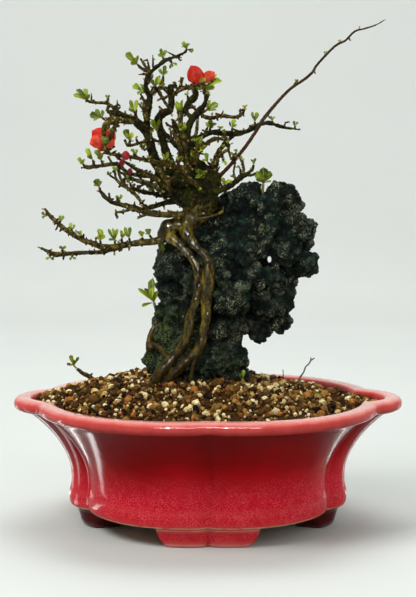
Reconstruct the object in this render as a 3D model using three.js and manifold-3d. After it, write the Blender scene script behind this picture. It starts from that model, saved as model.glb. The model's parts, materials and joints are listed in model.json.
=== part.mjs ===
// A japanese quince bonsai, grown root over rock in a glazed six-lobed oval pot.
// Millimetres, +Z up, origin on the table under the middle of the pot, front towards -Y.
//
// The tree and the rock are laid out as they are seen from the front: X and Z are read in the
// pot's middle plane, and a third number says how far behind that plane (+) or in front of it (-)
// a point lies. place() turns such a reading into a point of the model.

import * as THREE from 'three';
import { mergeVertices } from 'three/addons/utils/BufferGeometryUtils.js';
import Module from 'manifold-3d';

const wasm = await Module();
wasm.setup();

// Where the front view is taken from
const EYE_BACK = 1000;
const EYE_HEIGHT = 254;

// Room between neighbouring pieces
const GAP = 0.4;

// Pot: the rim's outline is the union of two end lobes and four side lobes
const POT_HEIGHT = 85.2;
const END_LOBE = { x: 95.2, y: 0, radius: 34.8 };
const SIDE_LOBE = { x: 19.3, y: 9.9, radius: 94.1 };
const END_NOTCH_ANGLE = Math.atan2(31, 111);
const END_LOBE_STEPS = 3;
const SIDE_LOBE_STEPS = 7;
const FLOOR_TOP = 20;
const FOOT_HEIGHT = 13;
const DRAIN_X = 42;
const DRAIN_RADIUS = 11;

// Soil mound
const SOIL_EDGE = 80.5;
const SOIL_RISE = 20;
const GRAIN_COUNT = 44;

// Relief smaller than this is left out of a piece
const FINEST = 0.13;

// Blades of leaves and petals
const LEAF_THICK = 0.6;
const PETAL_THICK = 0.7;

const COLOURS = {
  glaze: 0xb4122c,
  soil: 0x6b5138,
  mesh: 0x1c1d1c,
  rock: 0x26332f,
  bark: 0x4a3f26,
  deadTwig: 0x77756c,
  leaf: 0x93a93a,
  petal: 0xd53a26,
  bud: 0xb52038,
  calyx: 0x6f7a3c,
};

// Seeded draw number n of a stream, from 0 to 1
function draw(stream, n) {
  const wave = Math.sin(stream * 12.9898 + n * 78.233) * 43758.5453;
  return wave - Math.floor(wave);
}

// A front-view reading and its depth as a point of the model
function place(x, z, depth) {
  const reach = 1 + depth / EYE_BACK;
  return new THREE.Vector3(x * reach, depth, EYE_HEIGHT + (z - EYE_HEIGHT) * reach);
}

function bare(geometry) {
  geometry.deleteAttribute('normal');
  geometry.deleteAttribute('uv');
  return mergeVertices(geometry, 1e-4);
}

function toSolid(geometry) {
  const merged = bare(geometry);
  const mesh = new wasm.Mesh({
    numProp: 3,
    vertProperties: new Float32Array(merged.attributes.position.array),
    triVerts: new Uint32Array(merged.index.array),
  });
  return new wasm.Manifold(mesh);
}

function joined(solids) {
  return wasm.Manifold.union(solids);
}

// The main body of a solid, without scraps that a cut leaves loose and bubbles that a join seals
function mainBody(solid) {
  const bodies = solid.decompose();
  return bodies.reduce((best, body) => (body.volume() > best.volume() ? body : best));
}

function closedMesh(points, triangles) {
  const geometry = new THREE.BufferGeometry();
  const flat = points.flatMap((p) => [p.x, p.y, p.z]);
  geometry.setAttribute('position', new THREE.Float32BufferAttribute(flat, 3));
  geometry.setIndex(triangles.flat());
  return geometry;
}

const bonsai = new THREE.Group();
bonsai.name = 'japanese_quince_bonsai';

function addNode(name, solid, colour, roughness, finest = FINEST) {
  const cleaned = mainBody(solid.asOriginal().simplify(finest));
  const { vertProperties, triVerts } = cleaned.getMesh();
  const geometry = new THREE.BufferGeometry();
  geometry.setAttribute('position', new THREE.BufferAttribute(vertProperties, 3));
  geometry.setIndex(new THREE.BufferAttribute(triVerts, 1));
  geometry.computeVertexNormals();
  const material = new THREE.MeshStandardMaterial({ color: colour, roughness, metalness: 0 });
  const mesh = new THREE.Mesh(geometry, material);
  mesh.name = name;
  bonsai.add(mesh);
}

// Pot

function lobeReach(lobe, angle, inset) {
  const along = lobe.x * Math.cos(angle) + lobe.y * Math.sin(angle);
  const across = lobe.x * Math.sin(angle) - lobe.y * Math.cos(angle);
  const half = (lobe.radius - inset) ** 2 - across ** 2;
  return half > 0 ? along + Math.sqrt(half) : 0;
}

// Distance from the pot's middle to its outline, with every lobe drawn in by an inset
function outlineReach(angle, inset) {
  const quarter = Math.atan2(Math.abs(Math.sin(angle)), Math.abs(Math.cos(angle)));
  return Math.max(lobeReach(END_LOBE, quarter, inset), lobeReach(SIDE_LOBE, quarter, inset));
}

// Angles round the pot, with one on every notch
function outlineAngles() {
  const quarter = [];
  for (let i = 0; i < END_LOBE_STEPS; i += 1) {
    quarter.push((END_NOTCH_ANGLE * i) / END_LOBE_STEPS);
  }
  const rest = Math.PI / 2 - END_NOTCH_ANGLE;
  for (let i = 0; i < SIDE_LOBE_STEPS; i += 1) {
    quarter.push(END_NOTCH_ANGLE + (rest * i) / SIDE_LOBE_STEPS);
  }
  const angles = [];
  for (let i = 0; i < 4; i += 1) {
    const start = (i * Math.PI) / 2;
    const turned = i % 2 === 0
      ? quarter
      : [0, ...quarter.slice(1).map((angle) => Math.PI / 2 - angle).reverse()];
    angles.push(...turned.map((angle) => start + angle));
  }
  return angles;
}

const AROUND = outlineAngles();

// A solid through a stack of outlines, each { z, scale, inset }
function stackedSolid(rings) {
  const count = AROUND.length;
  const points = [];
  for (const ring of rings) {
    for (const angle of AROUND) {
      const reach = outlineReach(angle, ring.inset) * ring.scale;
      points.push(new THREE.Vector3(reach * Math.cos(angle), reach * Math.sin(angle), ring.z));
    }
  }
  const triangles = [];
  for (let r = 0; r + 1 < rings.length; r += 1) {
    for (let i = 0; i < count; i += 1) {
      const a = r * count + i;
      const b = r * count + ((i + 1) % count);
      triangles.push([a, b, b + count], [a, b + count, a + count]);
    }
  }
  const bottom = points.push(new THREE.Vector3(0, 0, rings[0].z)) - 1;
  const top = points.push(new THREE.Vector3(0, 0, rings[rings.length - 1].z)) - 1;
  const last = (rings.length - 1) * count;
  for (let i = 0; i < count; i += 1) {
    const next = (i + 1) % count;
    triangles.push([bottom, next, i], [top, last + i, last + next]);
  }
  return toSolid(closedMesh(points, triangles));
}

function ring(z, scale, inset = 0) {
  return { z, scale, inset };
}

function drainCutter(x) {
  const geometry = new THREE.CylinderGeometry(DRAIN_RADIUS, DRAIN_RADIUS, 40, 12);
  geometry.rotateX(Math.PI / 2);
  geometry.translate(x, 0, FOOT_HEIGHT);
  return toSolid(geometry);
}

// Four feet: a band that follows the base's outline, kept only at the front, the back and both ends
function feet() {
  const band = stackedSolid([ring(0, 0.655), ring(FOOT_HEIGHT + 2, 0.685)])
    .subtract(stackedSolid([ring(-1, 0.5), ring(FOOT_HEIGHT + 3, 0.5)]));
  const kept = [];
  for (const side of [-1, 1]) {
    const long = new THREE.Shape();
    long.moveTo(-29, -1);
    long.quadraticCurveTo(-30.5, 0, -31, 4);
    long.lineTo(-33, FOOT_HEIGHT + 2);
    long.lineTo(33, FOOT_HEIGHT + 2);
    long.lineTo(31, 4);
    long.quadraticCurveTo(30.5, 0, 29, -1);
    const front = new THREE.ExtrudeGeometry(long, { depth: 45, bevelEnabled: false, curveSegments: 3 });
    front.rotateX(Math.PI / 2);
    front.translate(0, side > 0 ? 85 : -40, 0);
    kept.push(toSolid(front).intersect(band));
    const end = new THREE.BoxGeometry(45, 46, 2 * FOOT_HEIGHT + 4);
    end.translate(side * 80, 0, 0);
    kept.push(toSolid(end).intersect(band));
  }
  return kept;
}

function buildPot() {
  const shell = stackedSolid([
    ring(13, 0.704), ring(14.5, 0.716), ring(19.5, 0.718), ring(22, 0.704), ring(36, 0.712),
    ring(48, 0.74), ring(58, 0.782), ring(66, 0.835), ring(71, 0.885), ring(73.6, 1, 8),
    ring(75.4, 1, 1.4), ring(78.5, 1, 0), ring(82, 1, 0), ring(84.4, 1, 1.6),
    ring(POT_HEIGHT, 1, 4), ring(POT_HEIGHT, 1, 9.6), ring(84, 1, 12),
  ]);
  const cavity = stackedSolid([
    ring(FLOOR_TOP, 0.69, 12), ring(44, 0.728, 10), ring(60, 0.792, 9), ring(74, 0.9, 9),
    ring(84, 1, 12), ring(90, 1, 11.5),
  ]);
  return joined([shell, ...feet()])
    .subtract(cavity)
    .subtract(drainCutter(-DRAIN_X))
    .subtract(drainCutter(DRAIN_X));
}

// Soil and drain meshes

// Height of the mound, from the wall (1) to the middle (0)
function moundHeight(fraction) {
  return SOIL_EDGE + SOIL_RISE * (1 - fraction ** 2.2) ** 0.9;
}

const CAVITY_INSET = 10;

function soilPoint(angle, fraction) {
  const reach = outlineReach(angle, CAVITY_INSET + GAP) * 0.94 * fraction;
  return new THREE.Vector3(reach * Math.cos(angle), reach * Math.sin(angle), moundHeight(fraction));
}

// One grain, lying in the mound's surface
function grain(n) {
  const spot = soilPoint(2 * Math.PI * draw(3, n), 0.32 + 0.62 * draw(4, n) ** 0.6);
  const size = 2.4 + 2 * draw(5, n) ** 2;
  const geometry = new THREE.OctahedronGeometry(size, 0);
  geometry.scale(1.1, 0.9, 0.9 + 0.25 * draw(6, n));
  geometry.rotateX(6 * draw(7, n));
  geometry.rotateZ(6 * draw(8, n));
  geometry.translate(spot.x, spot.y, spot.z + 0.2 * size);
  return toSolid(geometry);
}

function soilBody() {
  const steps = [0.99, 0.84, 0.62, 0.34];
  const wall = [
    ring(FLOOR_TOP + GAP, 0.69, 12.5), ring(44, 0.728, 10.5), ring(60, 0.792, 9.5),
    ring(74, 0.9, 9.4),
  ];
  const top = steps.map((step) => ring(moundHeight(step), 0.94 * step, CAVITY_INSET + GAP));
  const grains = Array.from({ length: GRAIN_COUNT }, (_, n) => grain(n));
  return joined([stackedSolid([...wall, ...top]), ...grains]);
}

// A square of plastic mesh that lies on the floor over a drain hole
function drainMesh(x, grow) {
  const side = 30 + 2 * grow;
  const plate = new THREE.BoxGeometry(side, side, 1 + 2 * grow);
  plate.translate(x, 0, FLOOR_TOP + GAP + 0.5);
  let solid = toSolid(plate);
  if (grow > 0) {
    return solid;
  }
  for (let i = -1; i <= 1; i += 1) {
    const slot = new THREE.BoxGeometry(4.4, 24, 8);
    slot.translate(x + i * 8, 0, FLOOR_TOP);
    solid = solid.subtract(toSolid(slot));
  }
  return solid;
}

// Rock: round lumps of lava stone, [x, z, depth, radius]
const ROCK_LUMPS = [
  // left shoulder and its foot
  [-23, 172, -6, 13.5], [-26, 182, -2, 6.5], [-24, 158, -4, 11], [-24, 143, -12, 11.5],
  [-26, 127, -10, 11], [-36.5, 109, -8, 7.5], [-22, 109, -14, 11], [-31, 134, 2, 8],
  [-16, 186, -10, 9.5], [-8, 196, -9, 9], [-33, 121, -7, 7.5],
  // what is sunk in the soil
  [-24, 99, -6, 12.5], [-5, 97, -8, 15], [14, 98, -8, 13],
  // front face, from the top down
  [11, 203, -8, 10], [16, 216, -4, 9], [27.5, 220, -2, 10.5], [47, 219.5, 0, 10.8],
  [55, 213, 2, 8.5], [39, 212, -10, 9], [26, 196, -14, 10.5], [41, 198, -14, 9.5],
  [57, 199, -9, 10.5], [65, 199, -1, 6.5], [-1, 192, -12, 9], [10, 188, -16, 9.5],
  [23, 181, -18, 10], [37, 186, -17, 8], [52, 183, -13, 10], [65, 175, -4, 10],
  [2, 175, -17, 10], [12, 168, -20, 9.5], [16, 152, -22, 13.5], [31, 166, -20, 9],
  [42, 165, -15, 8.5], [53, 161, -6, 7.5], [-9, 160, -17, 10], [-9, 143, -18, 10],
  [38, 148, -17, 9.5], [47.5, 147, -6, 8.5], [48, 138, -4, 8.5], [34, 131, -7, 9],
  [20, 134, -14, 9], [5, 131, -19, 9], [-9, 126, -18, 9], [15.5, 112, -12, 11.5],
  [2, 108, -19, 10], [-10, 110, -20, 9],
  // back face
  [2, 195, 8, 12], [22, 206, 12, 15], [45, 205, 12, 14], [60, 190, 8, 11], [8, 176, 14, 17],
  [40, 184, 16, 16], [-17, 168, 10, 12], [12, 148, 13, 17], [-15, 144, 12, 14],
  [38, 150, 10, 13], [4, 120, 10, 16], [-22, 118, 8, 12], [28, 226, 6, 6],
];

// A slanting hole where three lumps don't quite meet
const ROCK_HOLE = { x: 40.5, z: 177.8, width: 1.3, height: 2.1 };

// The rock's surface as seen from its middle: along each ray, the furthest point of any lump
const ROCK_MIDDLE = place(14, 163, 2);
const ROCK_RAYS = 8;
const RAY_SQUEEZE = 0.5;

function rockReach(direction, grow) {
  let reach = 0;
  for (const [x, z, depth, radius] of ROCK_LUMPS) {
    const offset = place(x, z, depth).sub(ROCK_MIDDLE);
    const along = offset.dot(direction);
    const half = (radius + grow) ** 2 - (offset.lengthSq() - along ** 2);
    if (half > 0) {
      reach = Math.max(reach, along + Math.sqrt(half));
    }
  }
  return reach;
}

function rockBody(grow) {
  const geometry = bare(new THREE.IcosahedronGeometry(1, ROCK_RAYS));
  const points = geometry.attributes.position;
  const ray = new THREE.Vector3();
  for (let i = 0; i < points.count; i += 1) {
    ray.fromBufferAttribute(points, i);
    ray.y *= RAY_SQUEEZE;
    ray.normalize();
    const pits = 1.1 * Math.sin(9 * ray.x + 2 * ray.z) * Math.sin(8 * ray.y + 11 * ray.z);
    ray.multiplyScalar(rockReach(ray, grow) + pits).add(ROCK_MIDDLE);
    points.setXYZ(i, ray.x, ray.y, ray.z);
  }
  return toSolid(geometry);
}

function rockHoleCutter() {
  const near = place(ROCK_HOLE.x, ROCK_HOLE.z, -60);
  const far = place(ROCK_HOLE.x, ROCK_HOLE.z, 60);
  const length = near.distanceTo(far);
  const geometry = new THREE.CylinderGeometry(ROCK_HOLE.width, ROCK_HOLE.width, length, 6);
  geometry.scale(1, 1, ROCK_HOLE.height / ROCK_HOLE.width);
  const turn = new THREE.Quaternion().setFromUnitVectors(
    new THREE.Vector3(0, 1, 0),
    far.clone().sub(near).normalize(),
  );
  geometry.applyQuaternion(turn);
  const middle = near.add(far).multiplyScalar(0.5);
  geometry.translate(middle.x, middle.y, middle.z);
  return toSolid(geometry);
}

// Wood

// A closed tapering limb through rows of [x, z, depth, radius]
function limb(rows, sides = 6, grow = 0) {
  const steps = rows.length - 1;
  const geometry = bare(new THREE.CylinderGeometry(1, 1, steps, sides, steps));
  const spine = rows.map(([x, z, depth]) => place(x, z, depth));
  const tangents = spine.map((_, k) => {
    const before = spine[Math.max(k - 1, 0)];
    const after = spine[Math.min(k + 1, steps)];
    return after.clone().sub(before).normalize();
  });
  spine[0].addScaledVector(tangents[0], -grow);
  spine[steps].addScaledVector(tangents[steps], grow);
  const normals = [new THREE.Vector3(0.3, 0.9, 0.3).cross(tangents[0]).normalize()];
  for (let k = 1; k <= steps; k += 1) {
    const carried = normals[k - 1].clone();
    normals.push(carried.addScaledVector(tangents[k], -carried.dot(tangents[k])).normalize());
  }
  const points = geometry.attributes.position;
  for (let i = 0; i < points.count; i += 1) {
    const k = Math.round(points.getY(i) + steps / 2);
    const side = new THREE.Vector3().crossVectors(normals[k], tangents[k]);
    const radius = rows[k][3] + grow;
    const p = spine[k].clone()
      .addScaledVector(normals[k], points.getX(i) * radius)
      .addScaledVector(side, points.getZ(i) * radius);
    points.setXYZ(i, p.x, p.y, p.z);
  }
  return toSolid(geometry);
}

// Roots that clasp the rock, and the knuckle they spring from
const ROOTS = [
  [[-30, 191, -16, 3.2], [-29.3, 196, -15, 4.2], [-25.5, 199.6, -15, 5], [-20, 200, -15, 5.6],
    [-14.5, 199.4, -15, 5], [-12, 196.5, -17, 3.4]],
  [[-29, 194, -16, 4.6], [-24.6, 192, -19, 4.2], [-20, 188.5, -21, 3.3], [-16, 184.5, -22, 2.7],
    [-12, 180, -23, 2.7], [-8.5, 175.5, -24, 2.9], [-6.5, 169.5, -25, 3.5], [-6, 162, -26, 2.7],
    [-7, 154, -27, 2.7], [-9.5, 146, -27.5, 2.7], [-12, 139, -27.5, 2.9], [-13, 130, -27, 3.4],
    [-15, 124, -27, 3.1], [-19, 117, -26, 3], [-25, 110, -26, 3.3], [-31, 103, -27, 3.7],
    [-36, 96, -28, 3.2], [-40, 86, -29, 2]],
  [[-15, 201, -16, 5], [-14, 195, -20, 4.2], [-11, 190, -22, 3.2], [-7.5, 185.5, -23, 2.9],
    [-3, 181.5, -25, 2.8], [0, 176, -27, 2.8], [0.5, 171, -27, 3.4], [0.8, 165, -26, 4],
    [0.6, 157, -26, 3.3], [0, 149, -26.5, 2.9], [-0.8, 140, -27, 2.7], [-2.5, 132, -27.5, 3],
    [-4, 124, -28, 2.8], [-7, 117, -27.5, 3.3], [-12, 111.5, -28.5, 3], [-18, 106, -29, 3],
    [-23, 101, -29, 3], [-28, 94, -30, 2.6], [-32, 86, -31, 1.8]],
  [[-1.5, 168.5, -25.4, 2.3], [-3, 158, -25.3, 2.4], [-3.2, 148, -26, 2.1], [-2.4, 138, -26.5, 1.9]],
  [[-5, 119, -27, 2], [-8, 113.5, -27.5, 2.2], [-10, 108, -28, 1.8], [-11, 100, -29, 1.5],
    [-12, 90, -29, 1.1]],
  [[-33, 141, -13, 1.2], [-35.5, 134, -13, 1.3], [-38, 128, -14, 1.3], [-39.5, 121, -15, 1.5],
    [-39, 117.5, -17, 2], [-36.5, 120, -18, 2], [-32, 118, -20, 1.6], [-28, 113, -24, 1.7],
    [-25, 110.5, -26, 1.8]],
  [[-13, 201.5, -18, 1.3], [-9, 203.8, -20, 1], [-4, 205.2, -21, 0.9], [1, 206.2, -21, 0.9],
    [6, 207.8, -19, 0.9], [9.5, 209.5, -17, 0.9], [10, 212.5, -15, 0.8]],
];

// The short thick trunk and what is left of old cut limbs
const TRUNK = [
  [[-16, 200, -15, 4.6], [-10, 206, -14, 7.5], [-5, 213, -12, 10], [-4, 222, -10, 11.5],
    [-4.5, 230, -9, 10.5], [-7, 237, -8, 7.5], [-10, 243, -8, 4.5]],
  [[-10, 212, -12, 5], [-18, 219, -11, 5], [-25, 224, -10, 4], [-29, 230, -9, 3.4]],
  [[-24, 225.5, -12, 3], [-29, 231.5, -14, 2.9], [-33, 237.5, -15, 2.8]],
  [[-2, 221, -20, 2.4], [-6, 226, -21, 2.2], [-10.5, 231.5, -19, 2.2], [-15, 235.5, -16, 2.2]],
  [[2, 226, -14, 6], [4, 232, -15, 5], [5, 236, -15, 3.4]],
];

const BOUGHS = [
  // lowest bough and its two arms
  [[-26, 192, -16, 3.2], [-33, 190.3, -18, 2.5], [-40, 189.3, -20, 2.3], [-48, 188.5, -22, 2.2],
    [-57, 187, -24, 2.1], [-64, 185.4, -26, 2.4], [-71, 186.3, -28, 2], [-76, 188.3, -29, 1.7],
    [-84, 191, -31, 1.7], [-90, 194.7, -32, 1.6], [-96, 198.7, -32, 1.8], [-99.5, 202, -32, 1.5],
    [-103.5, 205.5, -32, 1.5], [-106, 208.5, -32, 1.1], [-108, 211.7, -32, 0.9]],
  [[-61, 185.6, -25, 1.9], [-70, 182.8, -24, 1.5], [-80, 182.3, -22, 1.4], [-88, 182, -21, 1.5],
    [-94, 181.4, -20, 1.4], [-100, 181, -19, 1.9], [-104.5, 182.2, -19, 1.3],
    [-110.8, 185.3, -19, 0.8]],
  // two boughs that leave the trunk low on the left
  [[-9, 209, -15, 3], [-18, 207.8, -19, 2.4], [-28, 207.4, -22, 2.1], [-38, 208.4, -24, 2.2],
    [-45, 210.5, -25, 2], [-52, 212.8, -26, 1.7], [-59, 214.3, -27, 1.5], [-65, 216.5, -28, 1.5],
    [-69, 220, -28, 1.3], [-71.5, 224, -28, 1]],
  [[-50, 211.5, -26, 1.1], [-56, 209.6, -27, 0.9], [-60.8, 208.6, -28, 0.9], [-60, 205.4, -28, 0.8]],
  [[-36, 208.4, -24, 1.1], [-42, 207.2, -26, 1], [-46.5, 205.4, -27, 0.9]],
  [[-14, 216.5, -9, 2.4], [-25, 216, -6, 2], [-33, 213.8, -8, 1.7], [-41, 211.4, -14, 1.5],
    [-44, 210.4, -22, 1.3]],
  [[-20, 221, -12, 2.6], [-29, 220.6, -12, 2], [-36, 221.4, -12, 1.7], [-42, 222.3, -14, 1.5],
    [-48, 224.2, -16, 1.2], [-51, 226, -17, 1]],
  // arching twig that hangs before them
  [[-40, 208.8, -24, 1.1], [-43, 213.7, -24, 1.1], [-46.5, 219, -24, 1.2], [-52, 224.2, -24, 1.3],
    [-57.2, 227.4, -24, 1.2], [-60.6, 231, -24, 1], [-61.4, 235, -24, 0.8]],
  [[-53, 224.9, -24, 1], [-57, 229.9, -23, 0.9], [-58.8, 234.5, -22, 1], [-59.4, 239, -22, 1],
    [-59.4, 242, -22, 1]],
  // middle left twig
  [[-26, 226.5, -10, 2.2], [-36, 232.6, -14, 1.8], [-45, 233.5, -18, 1.5], [-53, 235, -20, 1.3],
    [-58.5, 240, -22, 1.3], [-63, 240.9, -24, 1.3], [-72, 239.5, -26, 1.2], [-78.5, 238.7, -28, 1.4],
    [-82, 239, -29, 0.9]],
  // twig that carries the left flower
  [[-10, 236.5, -15, 2.2], [-18, 238.4, -18, 1.9], [-27, 240, -22, 1.6], [-36, 242.4, -26, 1.5],
    [-45, 244.3, -29, 1.3], [-55, 246.4, -31, 1.2], [-64, 247.5, -33, 1.1], [-67.6, 249, -33.5, 1],
    [-68.8, 252.4, -34, 0.9]],
  // first stem and its boughs
  [[-14, 229, -4, 5], [-27, 236, -1, 4.2], [-34, 242, 1, 3.6], [-37, 250, 2, 3.2],
    [-39, 258, 2, 2.9], [-43, 264.5, 2, 2.9], [-48.5, 269.3, 2, 2.6], [-55, 272.3, 3, 2.1],
    [-62, 274.4, 4, 2], [-66.5, 275.3, 5, 1.4]],
  [[-60.5, 274.5, 4, 1.3], [-63, 278.6, 5, 1.1], [-67, 280.6, 6, 1], [-73, 281.1, 7, 1],
    [-78, 281.5, 8, 0.9]],
  [[-49, 268.5, 1, 1.9], [-56, 269, -5, 1.9], [-63, 270.2, -12, 2.2], [-66.5, 267.8, -20, 2],
    [-65.7, 262, -28, 1.9], [-66, 257.6, -32.5, 1.3]],
  [[-40, 269, 2, 1.9], [-41.5, 275, 3, 1.9], [-41.3, 281.3, 3, 1.8]],
  [[-38.5, 256.5, 1, 1.3], [-46, 254.4, -4, 1], [-52.5, 253, -8, 1], [-55, 257, -9, 0.8]],
  // leader
  [[-40, 261, 3, 2.4], [-40, 270, 6, 2.2], [-38.7, 279, 8, 2.1], [-38.2, 285, 9, 2.1],
    [-40.6, 290, 10, 1.8], [-40.6, 295, 11, 1.6], [-37.8, 300, 12, 1.8], [-34, 304, 13, 1.6],
    [-28, 308.3, 14, 1.3], [-21, 311, 15, 1], [-14.5, 314, 16, 0.8]],
  [[-37.6, 301.5, 12, 1.5], [-41.5, 302.2, 11, 1.3], [-45, 304.5, 10, 1.1]],
  [[-38, 285.5, 9, 1.5], [-33.6, 289.2, 12, 1.3], [-30.6, 292.6, 15, 1.2], [-29.3, 297, 17, 0.9]],
  [[-33.5, 289.5, 12, 1.1], [-27, 290.8, 12, 0.9], [-25, 286, 12, 0.8]],
  [[-39, 302, 12, 1], [-42, 306, 13, 0.9], [-44.2, 309.7, 13, 0.7]],
  // second stem, bent over and cut
  [[-22, 236, -2, 3.4], [-27, 246, 6, 3], [-29.5, 256, 10, 2.7], [-31.2, 264, 12, 2.6],
    [-32.6, 270.5, 12, 2.9], [-29, 274.6, 12, 2.8], [-24.5, 276, 12, 2.3], [-23.9, 284, 12, 2.1],
    [-24.3, 293, 12, 2.1]],
  [[-23, 270, 4, 1.6], [-21, 264, 0, 2], [-18, 255, -4, 2.6], [-14, 243, -7, 3.4]],
  [[-25, 277, 11, 1.2], [-29.5, 283, 12, 1], [-32, 287.6, 12, 1.3]],
  // twig that carries the right flower
  [[-23.8, 285.5, 12, 1.4], [-19.3, 288.7, 8, 1.3], [-14, 290.6, 3, 1.2], [-8, 290.5, -2, 1.2],
    [-4.5, 291.4, -4, 1]],
  [[-19.3, 289, 8, 0.9], [-17.8, 293.4, 8, 0.9], [-16.9, 297.6, 8, 1.5]],
  // third stem and what it carries
  [[-8, 238, -8, 4], [-11.5, 247, -9, 3], [-13.5, 256, -9, 2.6], [-12.8, 265, -9, 2.4],
    [-9, 272, -9, 2.2], [-5, 276.5, -9, 2.1], [-2, 280.5, -9, 1.7], [-1.2, 286.5, -8, 1.2]],
  [[-10, 270.5, -9, 1.6], [-15, 276, -6, 1.8], [-12, 281.5, -3, 2.2], [-8.4, 285.5, 0, 2.4],
    [-8, 289.3, -1, 2]],
  [[-4, 272.5, -9, 1.5], [2, 271, -12, 1.3], [9, 272.5, -15, 1.2], [17, 271.6, -18, 1.2],
    [21.5, 273, -20, 1.1], [23.8, 276.4, -21, 0.9]],
  // right bough
  [[-13.4, 251, -9, 2.4], [-9, 254.6, -8, 2.3], [-3, 259.5, -6, 2.2], [3, 261.6, -4, 2], [10, 261, -2, 1.9],
    [18, 260.6, 0, 1.9], [26, 262.8, 3, 1.8], [33, 266.3, 6, 1.7], [39, 268, 8, 1.5],
    [46, 266.2, 10, 1.3], [54, 264.2, 12, 1.1], [61, 263.5, 14, 0.9]],
  [[-8, 247, -10, 2], [-3, 252.4, -14, 1.6], [2.5, 256.6, -17, 1.5], [7, 257.6, -19, 1.3],
    [12, 256.6, -20, 0.9]],
  [[0, 236, -14, 2], [4, 242, -17, 1.4], [9, 247.6, -20, 1.1], [13.2, 249.8, -22, 0.9],
    [15.2, 243.6, -23, 0.7]],
  // long shoot
  [[5, 229, -15, 2.2], [8.3, 233.5, -17, 1.7], [14.6, 240, -19, 1.5], [24.5, 252, -20, 1.45],
    [32, 263, -20, 1.4], [36, 269.7, -20, 1.45], [44.6, 280.3, -18, 1.3], [54, 290, -16, 1.2],
    [62.9, 296, -14, 1.15], [68.6, 301, -12, 1.1], [72, 306.3, -11, 1], [82.8, 317.5, -8, 0.95],
    [90, 321.5, -6, 0.9], [96, 327.3, -4, 0.8], [103, 329.3, -2, 0.65], [110, 331.6, 0, 0.5],
    [116, 335, 1, 0.3]],
  // low bough that lies over the rock's top
  [[3, 222, -16, 2.4], [10, 224.3, -20, 2], [16, 227.6, -20, 1.8], [20.5, 231.3, -20, 1.7],
    [25, 234, -20, 1.6], [28.6, 236.6, -20, 1.2], [30, 240, -20, 0.8]],
  [[22, 232, -20, 1.2], [23.6, 237, -20, 1], [22.8, 242.3, -20, 0.8]],
  [[18.4, 230, -20, 0.9], [17, 235.5, -21, 0.7], [17.8, 241, -21, 0.6]],
  [[24.6, 233.5, -20, 1], [29, 233.6, -19, 0.9], [31.4, 235, -18, 0.7]],
];

// Boughs on the far side, which fill the crown out behind
const BACK_BOUGHS = [
  [[-4, 226, 0, 4], [-8, 236, 10, 3], [-14, 246, 20, 2.2], [-22, 254, 29, 1.8], [-29, 262, 36, 1.3],
    [-33, 270, 40, 0.9]],
  [[0, 224, 0, 3.4], [4, 238, 10, 2.4], [7, 249, 19, 1.8], [13, 256, 27, 1.4], [20, 262, 34, 1]],
  [[-9, 222, -8, 3.6], [-16, 222.6, -2, 3], [-28, 225, 10, 2.2], [-40, 228, 20, 1.7], [-52, 232, 27, 1.3],
    [-60, 237, 32, 0.9]],
  [[-14.4, 246.6, 20.4, 1.8], [-11, 252, 21, 1.6], [-8, 260, 24, 1.3], [-7, 270, 29, 1], [-9, 279, 32, 0.8]],
  [[-24, 256, 30, 1.2], [-34, 256, 34, 1], [-42, 259, 36, 0.8]],
];

// Thorns and cut stubs, [x, z, depth] at the foot, then at the tip, and the foot's radius
const THORNS = [
  [[-40, 299.6, 11], [-45.8, 299.4, 10], 0.9], [[-36, 304, 12], [-36.2, 312.2, 12], 0.8],
  [[-21, 311, 15], [-27, 314.3, 15], 0.8], [[-76.6, 281.2, 8], [-76.6, 287.4, 8], 0.8],
  [[-38.6, 303, 12], [-39.8, 309.4, 12], 1], [[-63, 248, -33], [-60, 249.8, -34], 0.9],
  [[-54, 271, 3], [-54.6, 276, 3], 1.1], [[-49, 211, -25], [-48.5, 216.4, -26], 1],
  [[-52, 188, -23], [-52.6, 183.4, -23], 1.1], [[-43, 189, -21], [-44, 186, -21], 1.3],
  [[-99, 201, -32], [-101, 197, -33], 1], [[-80, 189, -30], [-80.8, 192.8, -31], 0.9],
  [[-60, 273.8, 4], [-59.6, 283.2, 4], 1], [[12.6, 249.5, -22], [13.6, 255, -23], 0.7],
  [[-29, 227, -13], [-33, 224, -14], 0.9], [[4, 234, -15], [8, 239.4, -17], 1.5],
  [[9, 272.4, -15], [10, 276, -16], 0.9], [[50, 265, 11], [51, 268.4, 11], 0.8],
  [[-12, 257, -10], [-8, 260.6, -13], 1], [[-20, 311, 15], [-18, 308, 15], 0.8],
  [[-57, 246.6, -31], [-60, 244, -33], 0.8], [[69.4, 302, -12], [70.6, 299.6, -13], 0.8],
  [[92, 323.4, -6], [93.4, 321.2, -6], 0.7], [[39, 273.4, -19], [41, 270.6, -20], 0.7],
];

function thorn([foot, tip, radius], grow) {
  return limb([[...foot, 1.1 * radius], [...tip, 0.3]], 3, grow);
}

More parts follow.
